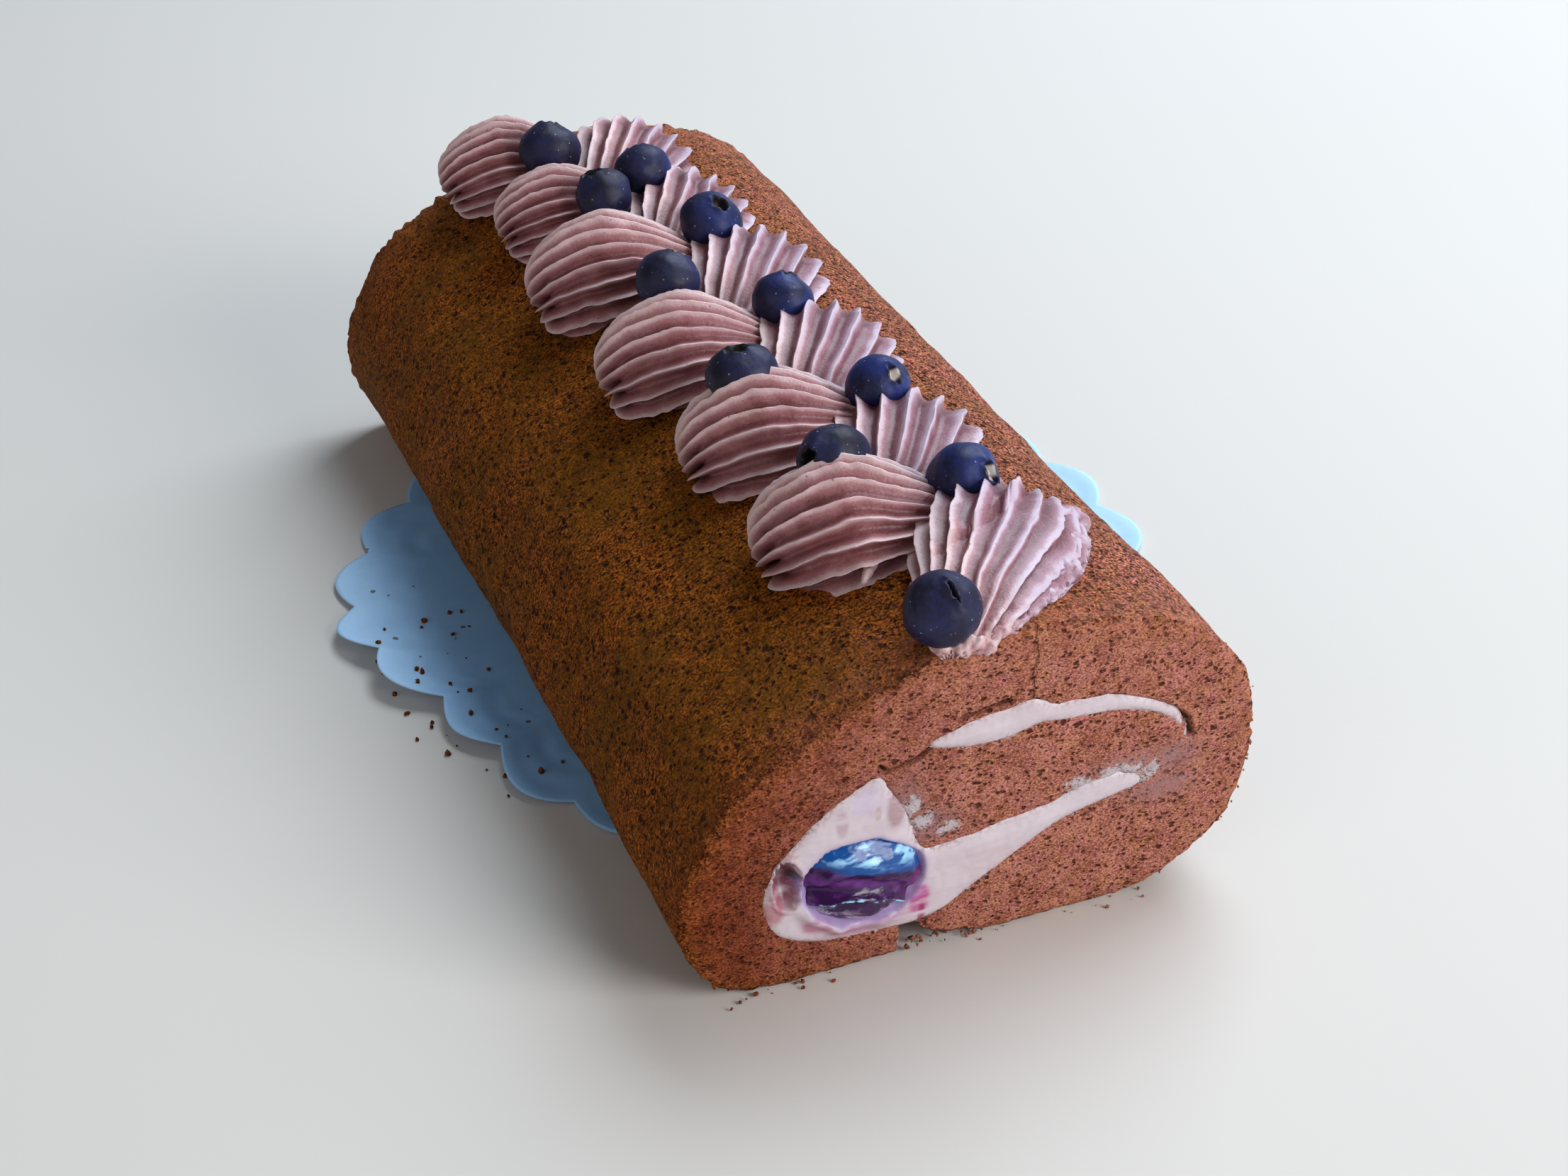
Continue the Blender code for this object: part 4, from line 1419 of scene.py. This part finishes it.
@dataclass
class PipedShell:
    """One piped shell: a lying teardrop with ribs that run along it from head to tail."""

    row: ShellRow
    index: int
    finish: bpy.types.Material
    rings: int = 120
    fine: int = 16          # columns on a rib that shows
    coarse: int = 5         # and on one underneath
    crowding: float = 0.10  # how much closer the columns are at a crest
    underside: float = -0.35
    tail_blunt: float = 0.85
    spacing: float = 60.0   # keeps the waves of two shells apart, in mm

    def columns(self) -> tuple[Array, Array]:
        """The angle of each column, and its distance from the nearest crest in ribs.

        Formula: each rib has its own even columns, drawn towards its two crests by a sine.
        """
        turns, gaps = [], []
        for rib in range(self.row.ribs):
            upright = np.sin(2 * np.pi * (rib + 0.5) / self.row.ribs)
            count = self.fine if upright > self.underside else self.coarse
            share = np.arange(count) / count
            share = share - self.crowding * np.sin(2 * np.pi * share)
            turns.append(2 * np.pi * (rib + share) / self.row.ribs)
            gaps.append(np.minimum(share, 1 - share))
        return np.concatenate(turns), np.concatenate(gaps)

    def points(self) -> tuple[Array, Array, int]:
        """Works out the shell.

        Formula: with the level running from 0 at the head to pi at the tail, the rings lie at
        minus the reach times its cosine and have a power of its sine as their size, made smaller
        towards the tail by the taper. A rib's crest stands on a round valley like a thin rounded
        wall, exp(-(gap / width)^sharpness). The valleys stop short of the crests at the head,
        which leaves finger ends. Waves crinkle the crests and make the whole uneven. Towards the
        tail the axis bends down; at the head it curls down along an arc.

        Returns:
            The points in the shell's own frame in mm, the crest mark, and the columns' number.
        """
        row = self.row
        turn, gap = self.columns()
        level = np.pi * np.arange(1, self.rings + 1) / (self.rings + 1)
        level, turn = np.meshgrid(level, turn, indexing="ij")
        gap = np.broadcast_to(gap, level.shape)
        crest = np.exp(-(gap / row.crest_width) ** row.sharpness)
        valley = np.sin(np.pi * gap)
        at_head = level < np.pi / 2
        reach = np.where(at_head, row.head, row.tail)
        short = 1 - row.fingers * valley ** 2 * np.clip(-np.cos(level), -1, 0) ** 2
        along = -reach * np.cos(level) * short
        number = row.first - 1 + self.index
        own = np.stack([along, row.width / 2 * turn, np.full_like(turn, self.spacing * number)], -1)
        seed = 60 if row.side is Side.LEFT else 80
        shift = 0.040 * smooth_noise(own * (1, 0.3, 1), 7.0, seed)
        shift += 0.022 * smooth_noise(own * (1, 0.5, 1), 2.2, seed + 1)
        depth = row.rib_depth * (1 + 0.25 * smooth_noise(own * (0.3, 1, 1), 5.0, seed + 2))
        hollow = depth * (0.55 * (1 - crest) + 0.45 * valley)
        crinkle = waves(own, seed + 3, (0.022, 1.4), (0.010, 0.6))
        taper = 1 - row.taper * np.clip(along / row.tail, 0, 1)
        end = np.where(at_head, row.blunt, self.tail_blunt)
        size = np.sin(level) ** end * taper * (1 - hollow + crest * crinkle)
        lump = waves(own, seed + 5, (0.35, 7.0), (0.06, 0.9))
        y = (row.width / 2 + lump) * size * np.cos(turn + shift)
        z = (row.height + lump) * size * np.sin(turn + shift)
        skin = np.stack([along, y, z], axis=-1).reshape(-1, 3)
        points = np.vstack([[(-row.head * 0.99, 0, 0)], skin, [(row.tail * 0.995, 0, 0)]])
        points = self._hooked(points)
        # The crest mark, which the material turns into painted highlight on the crests and painted
        # shade in the valleys.
        mark = np.concatenate([[0.3], (crest + 0.15 * (1 - valley)).ravel(), [0.3]])
        return points, np.clip(mark, 0, 1), turn.shape[1]

    def _hooked(self, points: Array) -> Array:
        """The points with the tail bent down and the head curled down along an arc."""
        row = self.row
        x, y, z = points.T
        bent = np.stack([x, y, z - row.bend * x ** 2], axis=1)
        if row.hook == 0:
            return bent
        arc = row.head / np.radians(row.hook)
        angle = np.maximum(-x, 0) / arc
        curled = np.stack([-(arc + z) * np.sin(angle), y, (arc + z) * np.cos(angle) - arc], axis=1)
        return np.where((x < 0)[:, None], curled, bent)

    def build(self) -> bpy.types.Object:
        """Turns the shell to its heading and lean and sets it on the roll."""
        row = self.row
        points, mark, columns = self.points()
        x, back, size = row.places[self.index]
        centre = FORM.spot(x, back, row.middle)
        turn = (Matrix.Rotation(np.radians(row.lean), 3, "Y")
                @ Matrix.Rotation(np.radians(row.heading), 3, "Z"))
        placed = centre + (points * size * MM) @ np.array(turn).T
        if row is RIGHT_FIRST:
            placed = Rim().trim(placed)
        name = f"shell_{row.side.value}_{row.first + self.index}"
        piece = mesh_object(f"piped_{name}", placed, ring_faces(self.rings, columns), self.finish,
                            {"crest": mark})
        dress(piece, "piped_cream", name)
        return piece


@dataclass
class CreamTrail:
    """A short thread of cream that the nozzle left, with a blunt end. Lengths are in mm.

    The way is given as x, y back from the near face, and z.
    """

    name: str
    way: tuple[tuple[float, float, float], ...]
    radii: tuple[float, ...]
    rough: float
    finish: bpy.types.Material
    rings: int = 72
    columns: int = 32

    def build(self) -> bpy.types.Object:
        """Makes the thread.

        Formula: a smooth curve through the way carries circles whose radius follows the given
        ones, rounded off at both ends as the square root of the way in, and dented by waves.
        """
        way = smooth_curve(np.array(self.way), closed=False)
        share = np.linspace(0, 1, self.rings + 2)
        centre = np.stack([np.interp(share, np.linspace(0, 1, len(way)), way[:, k])
                           for k in range(3)], axis=1)
        along = np.gradient(centre, axis=0)
        along = along / np.linalg.norm(along, axis=1)[:, None]
        aside = np.cross(along, (0.0, 0.0, 1.0))
        aside = aside / np.linalg.norm(aside, axis=1)[:, None]
        up = np.cross(aside, along)
        radius = np.interp(share, np.linspace(0, 1, len(self.radii)), self.radii)
        radius = radius * np.sqrt(np.clip(np.minimum(share, 1 - share) / 0.12, 0, 1))
        turn = around(self.columns)
        inner = slice(1, -1)
        ring = (aside[inner, None] * np.cos(turn)[:, None] + up[inner, None] * np.sin(turn)[:, None])
        skin = centre[inner, None] + ring * radius[inner, None, None]
        skin = skin.reshape(-1, 3)
        dent = smooth_noise(skin, 1.0, 131) + 0.6 * smooth_noise(skin, 0.5, 133)
        dent = self.rough * dent * np.repeat(radius[inner], self.columns)
        skin = skin + ring.reshape(-1, 3) * dent[:, None]
        points = np.vstack([centre[:1], skin, centre[-1:]])
        points = points * MM + (0, FORM.near, 0)
        # The crest mark, which the material turns into painted highlight, varies at random along the
        # thread.
        mark = np.clip(0.75 + 0.4 * smooth_noise(points, 1.2 * MM, 132), 0, 1)
        piece = mesh_object(self.name, points, ring_faces(self.rings, self.columns), self.finish,
                            {"crest": mark})
        dress(piece, "piped_cream")
        return piece


@dataclass
class TopBerry:
    """A whole blueberry with its crown. Lengths are in mm.

    The place is x, y back from the near face, and the height of its middle. The mouth is how
    wide the crown's opening is against its length, and the taper how much slimmer the far end
    is than the crown's end.
    """

    number: int
    place: tuple[float, float, float]
    radius: float
    half: float
    crown: Colour
    mouth: float
    taper: float
    fleck: bool
    finish: bpy.types.Material
    rows: int = 64
    columns: int = 80
    profile: tuple = ((0.0, -1.0), (0.42, -0.91), (0.82, -0.56), (1.0, 0.0), (0.88, 0.50),
                      (0.62, 0.82), (0.40, 0.96), (0.29, 0.97), (0.20, 0.82), (0.0, 0.66))
    rim: float = 0.34
    lobes: int = 5
    narrowest: float = 0.3  # the mouth from which the crown is hollow

    def build(self) -> bpy.types.Object:
        """Makes the berry.

        Formula: a smooth curve through the profile is turned about the crown's axis. The rim of
        the crown is squeezed to the shape of its mouth and has five low points, a narrow mouth
        is shallow too, the far end is slimmed in step with its height, and waves of three sizes
        make the berry uneven.
        """
        curve = smooth_curve(np.array(self.profile), closed=False)
        curve = respace(curve, np.linalg.norm(np.diff(curve, axis=0), axis=1).sum()
                        / (self.rows + 1))
        rows = len(curve) - 2
        turn = around(self.columns)
        out, up = (curve[1:-1, k][:, None] for k in (0, 1))
        at_rim = np.exp(-((out - self.rim) / 0.12) ** 2) * (up > 0.7)
        star = np.cos(self.lobes * turn + self.number)
        out = out * (1 + 0.07 * at_rim * star) + 0 * turn
        up = up + 0.05 * at_rim * (1 - 0.6 * star)
        closed = (1 - 0.5 * self.mouth / self.narrowest) * (self.mouth < self.narrowest)
        up = up + closed * (0.93 - up) * (out < 0.3) * (up > 0.5)
        narrow = 1 - (1 - self.mouth) * np.exp(-(out / 0.55) ** 4) * (up > 0.5)
        unit = np.stack([out * np.cos(turn) * narrow, out * np.sin(turn), up], axis=-1)
        unit = np.vstack([[(0, 0, curve[0, 1])], unit.reshape(-1, 3), [(0, 0, curve[-1, 1])]])
        slim = 1 + self.taper * (unit[:, 2] - 0.3)
        squeeze = np.array((1 + 0.04 * np.sin(3.1 * self.number),
                            1 - 0.05 * np.sin(1.7 * self.number), 1.0))
        local = unit * squeeze * (self.radius, self.radius, self.half)
        local[:, :2] *= slim[:, None]
        own = local + 50.0 * self.number
        swell = waves(own, 101, (0.30, 3.5), (0.08, 1.3), (0.025, 0.5))
        local = local * (1 + swell / self.radius)[:, None]
        x, back, height = self.place
        centre = FORM.spot(x, back, 0.0)
        centre[2] = height * MM
        turned = np.array(Vector(self.crown).to_track_quat("Z", "Y").to_matrix())
        placed = centre + local * MM @ turned.T
        radial = np.hypot(unit[:, 0], unit[:, 1])
        open_end = unit[:, 2] > 0
        # The crown mark: calyx colour with painted shade in its hollow, stronger for a wider mouth.
        shade = min(1.0, 0.3 + self.mouth)
        marks = {"crown": np.clip((self.rim - radial) / 0.1, 0, 1) * open_end * shade,
                 "fleck": np.clip((0.19 - radial) / 0.05, 0, 1) * open_end * self.fleck}
        piece = mesh_object(f"whole_blueberry_{self.number:02d}", placed,
                            ring_faces(rows, self.columns), self.finish, marks)
        dress(piece, "blueberry", f"blueberry_{self.number:02d}")
        return piece


# Whole blueberries: the place, the radius across, the half length, the way the crown points, its
# mouth, the taper, and whether a pale fleck lies in it
BERRIES = (
    ((-5.2, 3.8, 56.6), 5.6, 5.2, (0.06, -0.50, 0.86), 0.12, 0.04, False),
    ((-3.3, 44.4, 58.0), 5.2, 6.1, (-0.85, -0.35, 0.35), 0.70, 0.05, False),
    ((-7.1, 71.9, 58.6), 5.7, 5.1, (-0.20, 0.10, 1.00), 0.60, 0.08, False),
    ((-6.5, 107.2, 59.2), 5.6, 5.0, (0.50, 0.30, 0.80), 0.80, 0.05, False),
    ((-5.1, 142.0, 60.0), 5.4, 4.9, (-0.40, 0.20, 0.90), 0.70, 0.05, False),
    ((-8.0, 163.4, 60.8), 5.8, 5.2, (0.10, 0.40, 0.90), 0.80, 0.05, False),
    ((11.0, 32.0, 58.4), 5.0, 6.1, (0.40, -0.78, 0.48), 0.42, 0.20, True),
    ((10.3, 60.5, 59.2), 5.1, 5.5, (0.26, -0.68, 0.68), 0.42, 0.16, True),
    ((8.0, 92.2, 59.4), 5.2, 4.9, (0.30, 0.20, 0.95), 0.60, 0.06, False),
    ((8.0, 124.0, 60.2), 5.6, 5.1, (0.20, -0.40, 0.90), 0.70, 0.05, False),
    ((4.4, 147.9, 60.8), 5.2, 4.8, (-0.10, 0.50, 0.85), 0.80, 0.05, False),
)

# Threads of cream beside the first two shells: the curl under the left one, the smear along the
# rim, and the drip with the small lobes at the right one's outer edge
TRAILS = (
    ("curl_of_cream", ((-6.0, 24.6, 52.6), (-7.8, 22.4, 52.0), (-9.2, 20.8, 51.2)),
     (1.1, 0.9, 0.6, 0.4), 0.2),
    ("smear_at_the_rim", ((-7.4, 2.6, 51.7), (-4.5, 0.9, 51.8), (0.5, 0.7, 52.0), (5.5, 2.2, 52.2),
                          (10.5, 4.8, 52.3)), (0.8, 1.2, 1.3, 1.1, 0.8), 0.5),
    ("drip_of_cream", ((11.5, 9.0, 53.2), (12.6, 7.6, 53.0), (13.4, 6.2, 52.4)), (1.0, 0.8, 1.1),
     0.2),
    ("lobe_of_cream_low", ((13.0, 11.5, 53.4), (16.8, 11.9, 52.6), (20.0, 12.6, 51.2)),
     (1.4, 1.9, 1.9), 0.2),
    ("lobe_of_cream_middle", ((17.0, 17.5, 53.8), (21.5, 18.8, 52.2), (25.4, 20.0, 49.8)),
     (1.5, 1.9, 1.9), 0.2),
    ("lobe_of_cream_high", ((20.0, 24.0, 53.6), (25.0, 25.5, 51.6), (29.0, 27.2, 48.6)),
     (1.6, 2.0, 1.8), 0.2),
)


@dataclass
class Crumbs:
    """Loose crumbs on the paper, along the seam and round the rim of the near cut face.

    A patch is the middle of a crumb field and its half sizes in mm, the crumbs' radius and number.
    The rim has its own number and radius.
    """

    finish: bpy.types.Material
    paper: "Doily"
    patches: tuple = (
        ((-50.0, -8.0, 0.0), (14.0, 27.0, 0.0), 0.52, 44),
        ((-2.0, -91.0, 0.0), (9.0, 1.2, 1.0), 0.40, 34),
        ((14.0, -93.0, 0.0), (14.0, 1.2, 0.2), 0.30, 12),
        ((-32.0, -93.0, 0.0), (10.0, 1.2, 0.3), 0.34, 12),
    )
    rim_count: int = 420
    rim_radius: float = 0.27
    seed: int = 7

    def _fields(self, chance: np.random.Generator) -> list[tuple[Array, Array]]:
        """The places and radii of the crumbs, in mm: each patch in turn, then the rim."""
        fields = []
        for middle, half, radius, count in self.patches:
            place = np.array(middle) + chance.uniform(-1, 1, (count, 3)) * half
            size = radius * chance.uniform(0.35, 1.2, count) ** 1.3
            ground = self.paper.ground(place[:, 0] * MM, place[:, 1] * MM) / MM
            place[:, 2] = ground + np.abs(place[:, 2]) + 0.6 * size
            fields.append((place, size))
        outline = roll_outline()
        out = outward(outline)
        likely = np.where(outline[:, 0] < -8 * MM, 1.0, 0.25) * (outline[:, 1] > 1.5 * MM)
        chosen = chance.choice(len(outline), self.rim_count, p=likely / likely.sum())
        back = chance.uniform(-0.1, 2.6, self.rim_count) * MM
        size = self.rim_radius * chance.uniform(0.4, 1.3, self.rim_count) ** 1.3
        place = FORM.place(np.insert(outline[chosen], 1, FORM.near + back, axis=1))
        lift = skin_lift(place, back) - 0.2 * size
        place = place / MM
        place[:, (0, 2)] += out[chosen] * lift[:, None]
        fields.append((place, size))
        return fields

    def build(self) -> bpy.types.Object:
        """Makes all crumbs as one mesh.

        Formula: each crumb is a ball of twelve corners, each moved in or out at random, scaled
        and set down at random within its patch.
        """
        chance = np.random.default_rng(self.seed)
        golden = (1 + np.sqrt(5)) / 2
        corners = np.array([(0, s, t * golden) for s in (-1, 1) for t in (-1, 1)])
        corners = np.vstack([np.roll(corners, k, axis=1) for k in range(3)])
        corners = corners / np.linalg.norm(corners[0])
        near = np.linalg.norm(corners[:, None] - corners, axis=-1) < 1.1
        faces = np.array([(a, b, c) for a, b, c in combinations(range(len(corners)), 3)
                          if near[a, b] and near[b, c] and near[a, c]])
        a, b, c = (corners[faces[:, k]] for k in range(3))
        inward = (np.cross(b - a, c - a) * (a + b + c)).sum(axis=1) < 0
        faces[inward] = faces[inward][:, ::-1]
        points, blocks = [], []
        for place, size in self._fields(chance):
            count = len(size)
            shape = corners * chance.uniform(0.65, 1.25, (count, len(corners), 1))
            shape = shape * chance.uniform(0.7, 1.2, (count, 1, 3))
            first = sum(len(block) for block in points)
            points.append((place[:, None] + size[:, None, None] * shape).reshape(-1, 3))
            starts = first + len(corners) * np.arange(count)
            blocks.append((faces[None] + starts[:, None, None]).reshape(-1, 3))
        points = np.vstack(points) * MM
        points[:, 2] = np.maximum(points[:, 2], 0.02 * MM)
        marks = {"cut": np.full(len(points), 0.6), "rim": np.full(len(points), 0.5)}
        piece = mesh_object("loose_crumbs", points, blocks, self.finish, marks)
        dress(piece, "sponge")
        return piece


@dataclass
class Doily:
    """The round scalloped paper, embossed round its edge and a little curled.

    The pull and the curls are each a size, a heading and a spread in degrees: how far the edge is
    pulled in under the roll's side, and in mm how much it curls up there.
    """

    finish: bpy.types.Material
    radius: float = 74.5 * MM
    middle: tuple[float, float] = (4 * MM, 8 * MM)
    thickness: float = 0.25 * MM
    top: float = 0.5 * MM
    scallops: int = 24
    scallop_depth: float = 4 * MM
    pull: tuple[float, float, float] = (8 * MM, 200.0, 20.0)
    curls: tuple = ((3.4, 183.0, 14.0), (1.8, 208.0, 10.0))
    flat: float = 0.80
    rings: int = 56
    columns: int = 480

    def edge(self, turn: Array) -> Array:
        """How far the paper reaches in each direction from its middle."""
        lobe = np.abs(np.sin(self.scallops * turn / 2))
        return self.radius - self.scallop_depth * (1 - lobe) - self._swell(turn, *self.pull)

    @staticmethod
    def _swell(turn: Array, size: float, heading: float, spread: float) -> Array:
        """A soft rise round one heading."""
        return size * np.exp(-((np.degrees(turn) - heading) / spread) ** 2)

    def place(self, share: Array, turn: Array) -> tuple[Array, Array]:
        """X and y of each place, from its share of the way out and its direction."""
        reach = share * self.edge(turn)
        return self.middle[0] + reach * np.cos(turn), self.middle[1] + reach * np.sin(turn)

    def height(self, share: Array, turn: Array) -> Array:
        """The height of the paper's upper side.

        Formula: flat up to four fifths of the way out; from there the outer band curls up by the
        square of the way across it, by different amounts round the edge, and has low embossed
        waves.

        Args:
            share: the way from the middle to the edge, from 0 to 1.
            turn: the direction from the middle.

        Returns:
            One height for each place.
        """
        x, y = self.place(share, turn)
        lobe = np.abs(np.sin(self.scallops * turn / 2))
        band = np.clip((share - self.flat) / (1 - self.flat), 0, 1)
        curl = 0.6 + 0.6 * smooth_noise(np.stack([x, y, 0 * x], axis=-1), 22 * MM, 121)
        for rise in self.curls:
            curl = curl + self._swell(turn, *rise)
        emboss = 0.10 * np.sin(band * 5 * np.pi) * lobe
        emboss = emboss + 0.10 * np.cos(2 * self.scallops * turn) * (band > 0.1) * (1 - band)
        return self.top + (band ** 2 * curl + emboss * (band > 0) + 0.05 * band) * MM

    def ground(self, x: Array, y: Array) -> Array:
        """The height of what lies under each place: the paper, or the table beyond it."""
        turn = np.arctan2(y - self.middle[1], x - self.middle[0]) % (2 * np.pi)
        share = np.hypot(x - self.middle[0], y - self.middle[1]) / self.edge(turn)
        return np.where(share < 0.98, self.height(np.minimum(share, 1), turn), 0)

    def build(self) -> bpy.types.Object:
        """Makes the paper.

        Formula: rings of a disc that end at the scalloped edge. The lower skin lies one thickness
        below the upper one.

        Returns:
            The finished piece.
        """
        turn = around(self.columns)
        share = np.linspace(0, 1, self.rings + 1)[1:, None] ** 0.55 + 0 * turn
        turn = turn + 0 * share
        x, y = self.place(share, turn)
        z = self.height(share, turn)
        upper = np.stack([x, y, z], axis=-1)
        lower = upper - (0, 0, self.thickness)
        rings = np.concatenate([upper, lower[::-1]]).reshape(-1, 3)
        centre = (*self.middle, self.top)
        points = np.vstack([[centre], rings, [np.array(centre) - (0, 0, self.thickness)]])
        faces = [block[:, ::-1] for block in ring_faces(2 * self.rings, self.columns)]
        piece = mesh_object("scalloped_paper", points, faces, self.finish)
        dress(piece, "paper", "paper_doily")
        return piece


@dataclass
class Studio:
    """The camera, the lights and the floor.

    A light is its name, place, size, power and tint.
    """

    lights: tuple = (
        ("window", (0.58, 0.36, 0.84), (0.8, 0.8), 13.5, (0.80, 0.91, 1.0)),
        ("front_softbox", (0.62, -0.85, 0.50), (0.7, 0.6), 11.5, (0.99, 0.97, 0.97)),
        ("left_fill", (-0.80, -0.45, 0.45), (0.7, 0.7), 1.8, (1.0, 0.84, 0.66)),
    )
    lens: float = 55.76
    sensor: float = 36.0
    eye: Colour = (-0.12698, -0.33361, 0.23825)
    pitch: float = 33.119
    yaw: float = 21.947
    floor_size: float = 6.0
    sky: Colour = (0.72, 0.84, 1.0)
    sky_strength: float = 0.17

    def build(self) -> None:
        """Makes them all."""
        camera = bpy.data.cameras.new("camera")
        camera.lens = self.lens
        camera.sensor_width = self.sensor
        camera.clip_start = 0.01
        view = bpy.data.objects.new("camera", camera)
        view.location = self.eye
        view.rotation_euler = Euler((np.radians(90 - self.pitch), 0, -np.radians(self.yaw)))
        bpy.context.scene.collection.objects.link(view)
        bpy.context.scene.camera = view
        for values in self.lights:
            self._light(*values)
        world = bpy.data.worlds.new("studio")
        bpy.context.scene.world = world
        world.use_nodes = True
        back = world.node_tree.nodes["Background"]
        back.inputs["Color"].default_value = (*self.sky, 1.0)
        back.inputs["Strength"].default_value = self.sky_strength
        bpy.context.scene.view_settings.view_transform = "Standard"
        half = self.floor_size / 2
        points = np.array(((-half, -half, 0), (half, -half, 0), (half, half, 0), (-half, half, 0)))
        floor = mesh_object("floor", points, [np.array(((0, 1, 2, 3),))],
                            FloorFinish().material())

    @staticmethod
    def _light(name: str, place: Colour, size: tuple[float, float], power: float, tint: Colour
               ) -> None:
        """A rectangular soft light that faces the roll."""
        light = bpy.data.lights.new(name, "AREA")
        light.shape = "RECTANGLE"
        light.size, light.size_y = size
        light.energy = power
        light.color = tint
        made = bpy.data.objects.new(name, light)
        made.location = place
        made.rotation_euler = (-Vector(place)).to_track_quat("-Z", "Y").to_euler()
        bpy.context.scene.collection.objects.link(made)


def main() -> None:
    """Builds the pieces, the floor, the lights and the camera."""
    logging.basicConfig(level=logging.INFO, format="%(message)s")
    Studio().build()
    paper = Doily(PaperFinish().material())
    paper.build()
    sponge = SpongeFinish().material()
    Sponge(sponge).build()
    Crumbs(sponge, paper).build()
    filling = FillingFinish().material()
    berry = FillingBerry(CutBerryFinish().material())
    CreamLayer("upper_cream", "cream_upper_layer", UPPER_CREAM, filling, seed=44).build()
    CreamLayer("cream_pocket", "cream_filling", FILLING, filling, berry=berry).build()
    berry.build()
    piped = PipedFinish().material()
    for row in (LEFT_ROW, RIGHT_FIRST, RIGHT_ROW):
        for index in range(len(row.places)):
            PipedShell(row, index, piped).build()
    skin = BerryFinish().material()
    for number, values in enumerate(BERRIES, start=1):
        TopBerry(number, *values, skin).build()
    for name, way, radii, rough in TRAILS:
        CreamTrail(name, way, radii, rough, piped).build()


if __name__ == "__main__":
    main()
